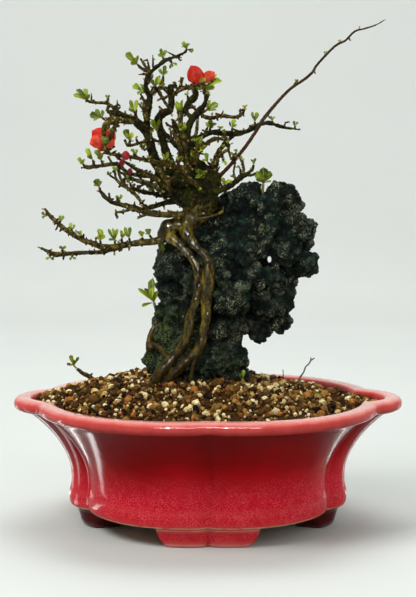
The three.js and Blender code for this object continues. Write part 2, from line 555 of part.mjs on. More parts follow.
// Leaves: one entry for each leafy spur. `from` lies in the bough, `at` is the spur's end where the
// leaves meet, both [x, z, depth]; each leaf is [x, z, depth] of its tip and its width.
const TUFTS = {
  lowest_bough_1: {
    from: [-71, 186.3, -28], at: [-71.5, 190.5, -28],
    leaves: [[-73, 199.5, -29, 4.6], [-67.8, 194.6, -30, 3.2], [-74, 193.6, -25, 2.4]],
  },
  lowest_bough_2: {
    from: [-61.5, 186.3, -25], at: [-61.8, 190, -26],
    leaves: [[-66.8, 199.8, -27, 2.6], [-63.6, 200, -25, 2.6], [-59.6, 199.6, -26, 2.8]],
  },
  lowest_bough_3: {
    from: [-57, 187.2, -24], at: [-57.3, 191.5, -27],
    leaves: [[-58, 198.2, -29, 3], [-55.5, 195, -29, 2]],
  },
  lowest_bough_4: {
    from: [-51.5, 188, -23], at: [-52.3, 192, -22],
    leaves: [[-55.8, 200.6, -22, 2.8], [-51.6, 200.6, -21, 2.6], [-56.4, 196, -20, 2]],
  },
  lowest_bough_5: {
    from: [-43, 189.3, -21], at: [-43.6, 192.5, -21],
    leaves: [[-45.8, 197.6, -21, 2.8], [-42.6, 197, -19, 2]],
  },
  lowest_bough_6: {
    from: [-36, 190, -19], at: [-38.8, 193.8, -19],
    leaves: [[-41.8, 198.8, -19, 3], [-39, 199, -17, 2.2]],
  },
  high_arm_tip: {
    from: [-106.4, 209, -32], at: [-107.6, 206.6, -34],
    leaves: [[-110.6, 209.6, -36, 2.4], [-110.4, 205, -35, 2]],
  },
  high_arm_2: {
    from: [-99, 201.8, -32], at: [-97.4, 203.6, -33],
    leaves: [[-95, 207.2, -34, 2.6], [-98.4, 207.6, -33, 2]],
  },
  high_arm_3: {
    from: [-90, 194.7, -32], at: [-90, 197.4, -32],
    leaves: [[-91.6, 203, -32, 2.6], [-88.2, 201.6, -31, 1.9]],
  },
  low_arm_1: {
    from: [-104, 182, -19], at: [-105, 179.6, -20],
    leaves: [[-108.4, 177.6, -21, 2.4], [-102, 177, -21, 2]],
  },
  low_arm_3: {
    from: [-96, 181.2, -20], at: [-96.4, 184, -20],
    leaves: [[-99, 187, -20, 2.4], [-94, 187.2, -20, 2.2]],
  },
  lower_bough_tip: {
    from: [-71.2, 223.6, -28], at: [-72, 225.6, -28],
    leaves: [[-74.6, 232, -28, 5.2], [-76, 227.6, -27, 3.4], [-71, 230.6, -26, 3]],
  },
  middle_bough_1: {
    from: [-36, 221.4, -12], at: [-36, 224, -14],
    leaves: [[-41.8, 226.8, -16, 4], [-35.6, 228.6, -16, 3]],
  },
  middle_bough_2: {
    from: [-50.6, 225.4, -17], at: [-51.6, 228.4, -18],
    leaves: [[-54, 232.6, -19, 2.8], [-49, 229.6, -20, 2]],
  },
  left_twig_tip: {
    from: [-81, 239, -29], at: [-82.6, 240.8, -29],
    leaves: [[-86, 246, -29, 3.2], [-84.6, 241, -30, 2], [-81.4, 245, -28, 2]],
  },
  left_twig_2: {
    from: [-69, 239.9, -26], at: [-70.4, 243.4, -26],
    leaves: [[-75.6, 250.8, -26, 4.4], [-70.8, 249, -25, 3]],
  },
  left_twig_3: {
    from: [-75, 239.1, -27], at: [-76, 243.6, -28],
    leaves: [[-80.8, 252.6, -28, 3.8], [-79.4, 246.6, -28, 2.4]],
  },
  first_stem_tip: {
    from: [-77.6, 281.5, 8], at: [-79.8, 282.6, 8],
    leaves: [[-89.8, 286.8, 8, 4.6], [-88, 290.4, 9, 3.6], [-81.6, 291.4, 10, 3.4], [-77, 287.4, 4, 2]],
  },
  hook_bough: {
    from: [-66.8, 269.6, -16], at: [-69.6, 271, -17],
    leaves: [[-79.2, 273.8, -17, 4.8], [-74.6, 277.8, -18, 3.6], [-69, 277.2, -18, 3]],
  },
  stem_fork: {
    from: [-45.6, 267, 2], at: [-47.6, 274.2, 2],
    leaves: [[-52, 284.4, 2, 3.8], [-46.8, 284.4, 3, 3.4], [-52.6, 277.6, 0, 2.2]],
  },
  first_stem_1: {
    from: [-51.4, 253.2, -8], at: [-51.8, 256, -9],
    leaves: [[-55.4, 265, -9, 4.6], [-49.4, 262.6, -10, 3.6]],
  },
  first_stem_2: {
    from: [-38.6, 252, 0], at: [-42, 250, -6],
    leaves: [[-45.4, 254.6, -12, 3], [-41.6, 255.4, -11, 2.6]],
  },
  leader_1: {
    from: [-40, 287.6, 9], at: [-43.4, 288.6, 8],
    leaves: [[-50.6, 293, 8, 4.8], [-46.4, 285.4, 8, 2.4]],
  },
  leader_2: {
    from: [-34.6, 288.4, 11], at: [-35, 291.4, 9], leaves: [[-31.6, 299.4, 7, 4.6], [-37.6, 297, 6, 3]],
  },
  leader_3: {
    from: [-29.6, 296, 17], at: [-29.4, 298.6, 17],
    leaves: [[-28, 306.6, 18, 3.2], [-32.8, 303.6, 18, 2.6]],
  },
  crown_left: {
    from: [-44.4, 304.2, 10], at: [-46.4, 306, 10],
    leaves: [[-55, 314.6, 10, 4.6], [-51.6, 307.2, 8, 3], [-46, 313, 9, 2.6]],
  },
  crown_middle: {
    from: [-28.4, 308.2, 14], at: [-29.6, 310.6, 13],
    leaves: [[-31.4, 317.4, 12, 3], [-26.6, 316, 12, 2.8], [-33.6, 312.6, 11, 2.4]],
  },
  crown_right: {
    from: [-25.4, 309, 14.5], at: [-23.6, 306.8, 12],
    leaves: [[-19.8, 305, 10, 2.8], [-25.6, 302.8, 10, 2.4]],
  },
  crown_tip: {
    from: [-15, 313.8, 16], at: [-13.8, 316, 16],
    leaves: [[-17, 321.6, 16, 3.6], [-8.8, 314.4, 15, 3.4], [-11.6, 320, 17, 3]],
  },
  second_stem_1: {
    from: [-29, 256, 10], at: [-33.4, 261.6, 4], leaves: [[-37.8, 271.6, 0, 4.2], [-32, 271.4, 0, 3.6]],
  },
  second_stem_2: {
    from: [-20.6, 263, 0], at: [-18, 270.6, -4],
    leaves: [[-21.4, 284, -5, 4.4], [-16.4, 285.4, -6, 4], [-12.6, 280.4, -7, 3.2]],
  },
  right_flower: {
    from: [-4.8, 291.2, -4], at: [-2.4, 289.6, -3],
    leaves: [[10.8, 296.4, -1, 5], [7, 301.6, 2, 3.6], [0.6, 284.6, -5, 2.2]],
  },
  third_stem_1: {
    from: [-4, 274.4, -9], at: [-1, 276.2, -12],
    leaves: [[8.2, 281, -14, 5], [2, 284, -13, 3.6], [6.8, 276.2, -14, 2.4]],
  },
  third_stem_2: {
    from: [-12.6, 250, -9], at: [-8.4, 248.4, -14],
    leaves: [[-2.6, 261.6, -19, 4.2], [-6, 255.6, -18, 3.6], [0.6, 253.6, -19, 3], [-12, 243.6, -18, 3.6]],
  },
  third_stem_3: {
    from: [-13, 262, -9], at: [-16, 262.4, -13],
    leaves: [[-20.4, 268.4, -15, 3.4], [-16.4, 268.8, -16, 2.6]],
  },
  right_bough_1: {
    from: [1, 261, -4.6], at: [1.4, 264.2, -7],
    leaves: [[1.6, 271, -9, 4], [6.6, 268, -9, 2.8], [-2.6, 268.6, -9, 2.4]],
  },
  right_bough_2: {
    from: [15.6, 260.8, -1], at: [16, 264.4, -2],
    leaves: [[18, 271.6, -2, 3.4], [13.6, 269.6, -3, 2.6]],
  },
  right_bough_3: {
    from: [31, 265.4, 5], at: [30.8, 268.6, 5], leaves: [[32.6, 276, 5, 3.2], [28.4, 276.4, 5, 2.8]],
  },
  trunk_face: {
    from: [-5, 231, -16], at: [-5.6, 232.6, -21],
    leaves: [[-6.6, 238.6, -25, 4.6], [-1.6, 237, -26, 3.8], [-9, 231.6, -26, 2.6]],
  },
  rock_top_bough: {
    from: [10.6, 224.6, -20], at: [11, 227.4, -22],
    leaves: [[9.6, 233, -24, 2.8], [15.4, 230.8, -24, 3]],
  },
};

// Leafy shoots that stand by themselves: on the rock and out of the soil
const SHOOTS = {
  rock_top_sprout: {
    stem: [[36, 219, -3, 1], [36.2, 226, -4, 0.9], [36.6, 231.5, -4, 0.8]],
    leaves: [[31.8, 237.4, -4, 4.4], [36.6, 240.4, -3, 4.6], [41.6, 237.4, -4, 4.6], [31.2, 232.4, -4, 1.4],
      [42.6, 230.8, -4, 1.4]],
  },
  rock_left_sprout: {
    stem: [[-31, 143, -12, 1.1], [-34.8, 145.4, -13, 1.2], [-36, 149, -13, 1.1]],
    leaves: [[-37.4, 163.6, -13, 6], [-44.6, 155, -13, 2.4], [-41.6, 157.4, -11, 2],
      [-43.6, 145.4, -13, 2]],
  },
  rock_side_leaf: {
    stem: [[-24, 178, -2, 0.9], [-29, 181, -3, 0.8], [-30.6, 182, -3, 0.7]],
    leaves: [[-31.6, 188.4, -3, 3.4]],
  },
  left_sucker_leaves: {
    stem: [[-87.8, 104.6, 6, 0.8], [-89.8, 106.6, 6, 0.8]],
    leaves: [[-92.6, 114.8, 6, 3], [-86, 113.4, 7, 2.2], [-95.4, 108, 5, 2.4]],
  },
  front_sprout: {
    stem: [[23.6, 90, -26, 0.9], [23, 98, -26, 1]],
    leaves: [[24, 104.6, -26, 3], [20.6, 101.6, -27, 2]],
  },
};

const SUCKER_STEM = [
  [-72, 88, 6, 1.5], [-76, 96, 6, 1.6], [-80, 99.4, 6, 1.5], [-84, 101.4, 6, 1.4], [-87.6, 104.4, 6, 1.1],
];
const DEAD_TWIG = [
  [58, 86, 4, 0.7], [61, 97, 4, 0.6], [64, 102, 4, 0.55], [65.3, 105.6, 4, 0.5], [67.4, 107.6, 4, 0.5],
  [68.8, 110, 4, 0.5], [71.4, 111.6, 4, 0.35],
];
const DEAD_TWIG_FORK = [[68.6, 109.6, 4, 0.4], [68.9, 112.4, 4, 0.3]];

// Radius of the knob in which a spur's leaves meet
const KNOB = 0.95;

// A blade from its foot to its tip. `face` is the way its upper side looks.
function blade(foot, tip, width, face, options) {
  const { thick, teeth, serrated, fold, arch, grow, widest, blunt } = options;
  const along = tip.clone().sub(foot);
  const length = along.length();
  along.normalize();
  const up = face.clone().addScaledVector(along, -face.dot(along)).normalize();
  const across = new THREE.Vector3().crossVectors(along, up);
  const marginCount = 2 * teeth;
  const at = (t, side, level) => {
    const bend = arch * length * (4 * t * (1 - t)) + fold * Math.abs(side);
    return foot.clone()
      .addScaledVector(along, t * (length + grow))
      .addScaledVector(across, side)
      .addScaledVector(up, bend + level * (thick / 2 + grow));
  };
  const margin = [];
  for (let i = 1; i <= marginCount; i += 1) {
    const t = i / (marginCount + 1);
    const past = (t - widest) / (1 - widest);
    const swell = past < 0 ? Math.sin((t / widest) * Math.PI * 0.5) : 1 - blunt * past ** 2;
    const tooth = i % 2 === 0 && serrated ? 0.86 : 1;
    margin.push({ t, reach: (width / 2) * Math.max(swell, 0.22) * tooth + grow });
  }
  const midrib = teeth > 2 ? [0.36, 0.7] : [0.55];
  const points = [];
  const add = (point) => points.push(point) - 1;
  const faces = [1, -1].map((level) => ({
    foot: add(at(0, 0, level)),
    tip: add(at(1, 0, level)),
    mid: midrib.map((t) => add(at(t, 0, level))),
    right: margin.map(({ t, reach }) => add(at(t, reach, level))),
    left: margin.map(({ t, reach }) => add(at(t, -reach, level))),
  }));
  const triangles = [];
  const zip = (rim, ribs, flip) => {
    let i = 0;
    let j = 0;
    while (i + 1 < rim.length || j + 1 < ribs.length) {
      const rimNext = i + 1 < rim.length ? (i + 1) / (rim.length - 1) : 2;
      const ribNext = j + 1 < ribs.length ? (j + 1) / (ribs.length - 1) : 2;
      const third = rimNext <= ribNext ? rim[i + 1] : ribs[j + 1];
      const corners = [rim[i], third, ribs[j]];
      if (new Set(corners).size === 3) {
        triangles.push(flip ? corners.reverse() : corners);
      }
      if (rimNext <= ribNext) i += 1;
      else j += 1;
    }
  };
  faces.forEach((side, k) => {
    const ribs = [side.foot, ...side.mid, side.tip];
    zip([side.foot, ...side.right, side.tip], ribs, k === 1);
    zip([side.foot, ...side.left, side.tip], ribs, k === 0);
  });
  const [top, bottom] = faces;
  const rimOf = (side) => [side.foot, ...side.right, side.tip, ...side.left.slice().reverse()];
  const upper = rimOf(top);
  const lower = rimOf(bottom);
  for (let i = 0; i < upper.length; i += 1) {
    const next = (i + 1) % upper.length;
    triangles.push([upper[i], lower[i], lower[next]], [upper[i], lower[next], upper[next]]);
  }
  return toSolid(closedMesh(points, triangles));
}

function knob(centre, radius) {
  const geometry = new THREE.OctahedronGeometry(radius);
  geometry.translate(centre.x, centre.y, centre.z);
  return toSolid(geometry);
}

// The leaves of one spur, spread from a small knob
function leafSpray(centre, leaves, stream, grow) {
  const solids = [knob(centre, KNOB + grow)];
  leaves.forEach(([x, z, depth, width], n) => {
    const tip = place(x, z, depth);
    const turn = 2.2 * (draw(stream, n) - 0.5);
    const face = new THREE.Vector3(turn, -1, 0.45 + 0.5 * draw(stream, n + 20));
    solids.push(blade(centre, tip, width, face, {
      thick: LEAF_THICK,
      teeth: 1 + Number(width > 3.5) + Number(width > 4.7),
      serrated: width > 3.5,
      fold: 0.28,
      arch: -0.07,
      grow,
      widest: 0.7,
      blunt: 0.5,
    }));
  });
  return joined(solids);
}

// The woody spur under a tuft, which ends just short of the leaves
function spur({ from, at }, grow) {
  const start = new THREE.Vector3(...from);
  const end = new THREE.Vector3(...at);
  const length = start.distanceTo(end);
  const short = start.clone().lerp(end, 1 - (KNOB + GAP) / length);
  return limb([[...from, 1.2], [...short, 1]], 4, grow);
}

// Flowers and flower buds

// `open` is the way the flower opens; petals spread round it by `spread` radians
const FLOWERS = {
  flower_left: {
    at: [-67.4, 257.2, -33.5],
    open: new THREE.Vector3(-0.3, 0.92, 0.12),
    petal: 9.2,
    width: 8.6,
    spread: 1.25,
  },
  flower_right: {
    at: [-4.2, 291.8, -4],
    open: new THREE.Vector3(0.05, -0.25, 1),
    petal: 14,
    width: 10.4,
    spread: 0.66,
  },
};

const BUDS = {
  flower_bud_1: { from: [-56, 246.6, -31], at: [-54.2, 246.4, -34.5], radius: 2.6 },
  flower_bud_2: { from: [-57.6, 239.6, -22], at: [-56.8, 241.6, -25.5], radius: 1.9 },
  flower_bud_3: { from: [-51.6, 234.8, -19.6], at: [-51.6, 236, -23], radius: 1.7 },
};

function petalRing(flower, grow) {
  const centre = place(...flower.at);
  const open = flower.open.clone().normalize();
  const first = new THREE.Vector3(0, 0, 1).cross(open).normalize();
  const second = open.clone().cross(first);
  const solids = [knob(centre, 1.8 + grow)];
  for (let n = 0; n < 5; n += 1) {
    const angle = (n * 2 * Math.PI) / 5 + 0.35;
    const out = first.clone().multiplyScalar(Math.cos(angle)).addScaledVector(second, Math.sin(angle));
    const lean = flower.spread + 0.12 * (draw(11, n) - 0.5);
    const reach = out.clone().multiplyScalar(Math.sin(lean)).addScaledVector(open, Math.cos(lean));
    const tip = centre.clone().addScaledVector(reach, flower.petal);
    const inner = open.clone().multiplyScalar(Math.sin(lean)).addScaledVector(out, -Math.cos(lean));
    inner.addScaledVector(open.clone().cross(out), 0.18);
    solids.push(blade(centre, tip, flower.width, inner, {
      thick: PETAL_THICK,
      teeth: 2,
      serrated: false,
      fold: 0.22,
      arch: -0.16,
      grow,
      widest: 0.58,
      blunt: 0.55,
    }));
  }
  return joined(solids);
}

// The green cup behind a flower
function calyx(flower, grow) {
  const centre = place(...flower.at);
  const back = flower.open.clone().normalize().multiplyScalar(-1);
  const outline = [[0, 4.6 + grow], [1.2 + grow, 4.2], [2.3 + grow, 2], [2.6 + grow, 0.2], [0, 0.6]];
  const cup = new THREE.LatheGeometry(outline.map(([radius, z]) => new THREE.Vector2(radius, -z)), 6);
  cup.applyQuaternion(new THREE.Quaternion().setFromUnitVectors(new THREE.Vector3(0, -1, 0), back));
  cup.translate(centre.x, centre.y, centre.z);
  return toSolid(cup);
}

function budBody({ at, radius }, grow) {
  const geometry = new THREE.IcosahedronGeometry(radius + grow, 1);
  geometry.scale(1, 1, 1.12);
  const centre = place(...at);
  geometry.translate(centre.x, centre.y, centre.z);
  return toSolid(geometry);
}

function budStalk({ from, at, radius }, grow) {
  const start = new THREE.Vector3(...from);
  const end = new THREE.Vector3(...at);
  const short = start.clone().lerp(end, 1 - (radius + GAP) / start.distanceTo(end));
  return limb([[...from, 0.9], [...short, 1]], 4, grow);
}

// Assembly

function woodBody(grow) {
  const limbs = [...ROOTS, ...TRUNK, ...BOUGHS, ...BACK_BOUGHS].map((rows) => {
    const girth = Math.max(...rows.map((row) => row[3]));
    return limb(rows, 4 + Number(girth > 1.3) + Number(girth > 2.6) + 2 * Number(girth > 6), grow);
  });
  const spurs = Object.values(TUFTS).map((tuft) => spur(tuft, grow));
  const stalks = Object.values(BUDS).map((bud) => budStalk(bud, grow));
  return joined([...limbs, ...spurs, ...stalks, ...THORNS.map((row) => thorn(row, grow))]);
}

const wood = woodBody(0);
const woodRoom = woodBody(GAP);
const rockRoom = rockBody(4 * GAP);
const sucker = limb(SUCKER_STEM, 5);
const suckerRoom = limb(SUCKER_STEM, 5, GAP);
const deadTwig = joined([limb(DEAD_TWIG, 4), limb(DEAD_TWIG_FORK, 4)]);
const deadTwigRoom = limb(DEAD_TWIG, 4, GAP);

addNode('pot', buildPot(), COLOURS.glaze, 0.25);
for (const [name, x] of [['drain_mesh_left', -DRAIN_X], ['drain_mesh_right', DRAIN_X]]) {
  addNode(name, drainMesh(x, 0), COLOURS.mesh, 0.7);
}
addNode('tree_wood', wood, COLOURS.bark, 0.6, 0.25);
addNode('sucker_stem', sucker, COLOURS.bark, 0.7);
addNode('dead_twig', deadTwig, COLOURS.deadTwig, 0.9);

// What is already in place, swollen by the gap: each later piece is cut back from it
let taken = joined([woodRoom, suckerRoom]);

function addClear(name, build, colour) {
  addNode(name, build(0).subtract(taken), colour, 0.55);
  taken = taken.add(build(GAP));
}

for (const [name, flower] of Object.entries(FLOWERS)) {
  addClear(`${name}_petals`, (grow) => petalRing(flower, grow), COLOURS.petal);
  addClear(`${name}_calyx`, (grow) => calyx(flower, grow), COLOURS.calyx);
}
for (const [name, bud] of Object.entries(BUDS)) {
  addClear(name, (grow) => budBody(bud, grow), COLOURS.bud);
}
Object.entries(TUFTS).forEach(([name, tuft], stream) => {
  const build = (grow) => leafSpray(place(...tuft.at), tuft.leaves, stream + 1, grow);
  addClear(`leaves_${name}`, build, COLOURS.leaf);
});
Object.entries(SHOOTS).forEach(([name, shoot], stream) => {
  const end = shoot.stem[shoot.stem.length - 1].slice(0, 3);
  const build = (grow) => joined([
    limb(shoot.stem, 5, grow),
    leafSpray(place(...end), shoot.leaves, stream + 80, grow),
  ]);
  addClear(name, build, COLOURS.leaf);
});

const rock = rockBody(0).subtract(rockHoleCutter());
addNode('rock', rock.subtract(taken), COLOURS.rock, 0.85);
const meshRoom = joined([drainMesh(-DRAIN_X, GAP), drainMesh(DRAIN_X, GAP)]);
const soil = soilBody().subtract(joined([taken, rockRoom, deadTwigRoom, meshRoom]));
addNode('soil', soil, COLOURS.soil, 0.95, 0.34);

export default bonsai;
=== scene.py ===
"""A japanese quince bonsai, grown root over rock in a glazed lobed oval pot.

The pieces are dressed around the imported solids, in their frame: metres, +Z up, the origin on the
table under the middle of the pot, and the front towards -Y.

The tree and the rock are laid out as they are seen from the front. A reading is a point's X and Z
in the pot's middle plane, with its depth behind that plane (+) or before it (-), in millimetres,
and place() turns it into a point of the frame.
"""

import json
import logging
import math
import random
from collections import defaultdict
from collections.abc import Sequence
from dataclasses import dataclass, field
from enum import Enum

import bmesh
import bpy
import numpy as np
from mathutils import Euler, Matrix, Vector

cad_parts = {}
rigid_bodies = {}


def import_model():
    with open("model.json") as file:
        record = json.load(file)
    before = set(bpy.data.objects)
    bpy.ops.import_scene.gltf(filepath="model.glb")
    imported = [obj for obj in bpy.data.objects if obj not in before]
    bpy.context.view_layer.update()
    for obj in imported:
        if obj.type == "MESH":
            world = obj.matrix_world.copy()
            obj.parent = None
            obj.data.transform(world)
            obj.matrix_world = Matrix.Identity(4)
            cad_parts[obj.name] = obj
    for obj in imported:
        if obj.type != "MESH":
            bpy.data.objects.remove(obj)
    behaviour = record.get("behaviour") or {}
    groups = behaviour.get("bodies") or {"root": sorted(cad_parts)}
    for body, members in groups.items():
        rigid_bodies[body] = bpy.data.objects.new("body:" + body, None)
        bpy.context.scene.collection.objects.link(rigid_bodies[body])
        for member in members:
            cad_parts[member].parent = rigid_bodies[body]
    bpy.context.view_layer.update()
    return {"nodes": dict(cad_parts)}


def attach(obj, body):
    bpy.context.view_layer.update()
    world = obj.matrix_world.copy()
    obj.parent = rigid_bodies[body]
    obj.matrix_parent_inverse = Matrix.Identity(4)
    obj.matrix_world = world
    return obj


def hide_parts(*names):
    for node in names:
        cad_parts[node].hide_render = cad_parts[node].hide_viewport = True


log = logging.getLogger("bonsai")

MM = 0.001
EYE_BACK = 1000.0
EYE_HEIGHT = 254.0

Row = tuple[float, float, float, float]
Piece = bpy.types.Object
Finish = bpy.types.Material
Socket = bpy.types.NodeSocket
Shapes = bpy.types.Collection


def place(x: float, z: float, depth: float) -> Vector:
    """A front-view reading and its depth, in millimetres, as a point of the frame."""
    reach = 1.0 + depth / EYE_BACK
    return Vector((x * reach, depth, EYE_HEIGHT + (z - EYE_HEIGHT) * reach)) * MM


class Slot(Enum):
    """The record's material slots that the dressed pieces have."""

    GLAZE = "glaze"
    SOIL = "soil"
    ROCK = "rock"
    BARK = "bark"
    DEAD_WOOD = "dead_wood"
    LEAF = "leaf"
    PETAL = "petal"
    CALYX = "calyx"
    BUD = "bud"


# Shader graphs


class Graph:
    """A node tree that is filled in one node at a time."""

    def __init__(self, tree: bpy.types.NodeTree) -> None:
        """Takes the shader or geometry tree that it fills."""
        self.tree = tree

    def node(self, kind: str, inputs: dict | None = None, **settings: object) -> bpy.types.Node:
        """Adds a node.

        Args:
            kind: the node's type.
            inputs: what each input holds, by name or index: a value, or a socket to link from.
            settings: the node's own properties.

        Returns:
            The new node.
        """
        made = self.tree.nodes.new(kind)
        for key, value in settings.items():
            setattr(made, key, value)
        for key, value in (inputs or {}).items():
            self.feed(made.inputs[key], value)
        return made

    def feed(self, socket: Socket, value: object) -> None:
        """Fills one input.

        Args:
            socket: the input.
            value: what it holds, or a socket to link from; None leaves it as it is, and a colour
                may be given as the six digits it has on a screen.
        """
        if isinstance(value, Socket):
            self.tree.links.new(value, socket)
        elif socket.type == "RGBA" and isinstance(value, str):
            socket.default_value = (*tint(value), 1.0)
        elif value is not None:
            socket.default_value = value

    def math(self, operation: str, *values: object) -> Socket:
        """The result of a Math node."""
        return self.node("ShaderNodeMath", dict(enumerate(values)), operation=operation).outputs[0]

    def times(self, first: object, second: object) -> Socket:
        """Two values multiplied."""
        return self.math("MULTIPLY", first, second)

    def plus(self, first: object, second: object) -> Socket:
        """Two values added."""
        return self.math("ADD", first, second)

    def minus(self, first: object, second: object) -> Socket:
        """The first value less the second."""
        return self.math("SUBTRACT", first, second)

    def part(self, vector: Socket, axis: int) -> Socket:
        """A vector's X, Y or Z: its part 0, 1 or 2."""
        return self.node("ShaderNodeSeparateXYZ", {0: vector}).outputs[axis]

    def scaled(self, vector: object, length: object) -> Socket:
        """A vector made so many times as long."""
        return self.node("ShaderNodeVectorMath", {0: vector, 3: length}, operation="SCALE").outputs[0]

    def remap(self, value: object, low: float, high: float, to_low: object = 0.0,
              to_high: object = 1.0) -> Socket:
        """A value carried over from low..high to another range, and held within it."""
        inputs = dict(enumerate((value, low, high, to_low, to_high)))
        return self.node("ShaderNodeMapRange", inputs, clamp=True).outputs[0]


class Surface(Graph):
    """A material's graph, with one Principled shader."""

    def __init__(self, name: str) -> None:
        """Starts a material.

        Args:
            name: the material's name.
        """
        self.material = bpy.data.materials.new(name)
        self.material.use_nodes = True
        super().__init__(self.material.node_tree)
        self.shader = self.tree.nodes["Principled BSDF"]
        self.where = self.node("ShaderNodeTexCoord").outputs["Object"]

    def set(self, **values: object) -> None:
        """Sets or links the shader's inputs, with underscores for the spaces in their names."""
        for key, value in values.items():
            self.feed(self.shader.inputs[key.replace("_", " ")], value)

    def attribute(self, name: str) -> Socket:
        """The value of a mesh attribute."""
        return self.node("ShaderNodeAttribute", attribute_name=name).outputs["Fac"]

    def noise(self, scale: float, detail: float = 3.0, rough: float = 0.55, at: object = None) -> Socket:
        """A noise of so many ripples to the metre."""
        inputs = {"Vector": at or self.where, "Scale": scale, "Detail": detail, "Roughness": rough}
        return self.node("ShaderNodeTexNoise", inputs).outputs[0]

    def drift(self, scale: float, low: float = 0.0, high: float = 1.0, detail: float = 3.0,
              rough: float = 0.55) -> Socket:
        """A noise that wanders between two values."""
        return self.remap(self.noise(scale, detail, rough), 0.3, 0.7, low, high)

    def cells(self, scale: float) -> Socket:
        """The distance from the middle of a cell, with so many cells to the metre."""
        return self.node("ShaderNodeTexVoronoi", {"Vector": self.where, "Scale": scale}).outputs[0]

    def mapped(self, *scale: float) -> Socket:
        """The place, stretched or squeezed along X, Y and Z."""
        return self.node("ShaderNodeMapping", {"Vector": self.where, "Scale": scale}).outputs[0]

    def ramp(self, value: object, *stops: tuple[float, str]) -> Socket:
        """A colour ramp.

        Args:
            value: what runs along the ramp.
            stops: the places on it and their colours.

        Returns:
            The colour.
        """
        made = self.node("ShaderNodeValToRGB", {0: value})
        band = made.color_ramp.elements
        for n, (at, colour) in enumerate(stops):
            stop = band[n] if n < 2 else band.new(at)
            stop.position = at
            stop.color = (*tint(colour), 1.0)
        return made.outputs[0]

    def mix(self, share: object, first: object, second: object, blend: str = "MIX") -> Socket:
        """Two colours mixed."""
        inputs = {0: share, 6: first, 7: second}
        return self.node("ShaderNodeMix", inputs, data_type="RGBA", blend_type=blend).outputs[2]

    def bump(self, height: object, depth: float, strength: float = 1.0, over: object = None) -> Socket:
        """A bump so many metres deep, over another one if it is given."""
        inputs = {"Height": height, "Distance": depth, "Strength": strength, "Normal": over}
        return self.node("ShaderNodeBump", inputs).outputs[0]


def tint(hexadecimal: str) -> tuple[float, float, float]:
    """A colour as it is seen on a screen, turned to the linear values that shaders use."""
    parts = [int(hexadecimal[n:n + 2], 16) / 255 for n in (0, 2, 4)]
    return tuple(c / 12.92 if c <= 0.04045 else ((c + 0.055) / 1.055) ** 2.4 for c in parts)


# Geometry Nodes


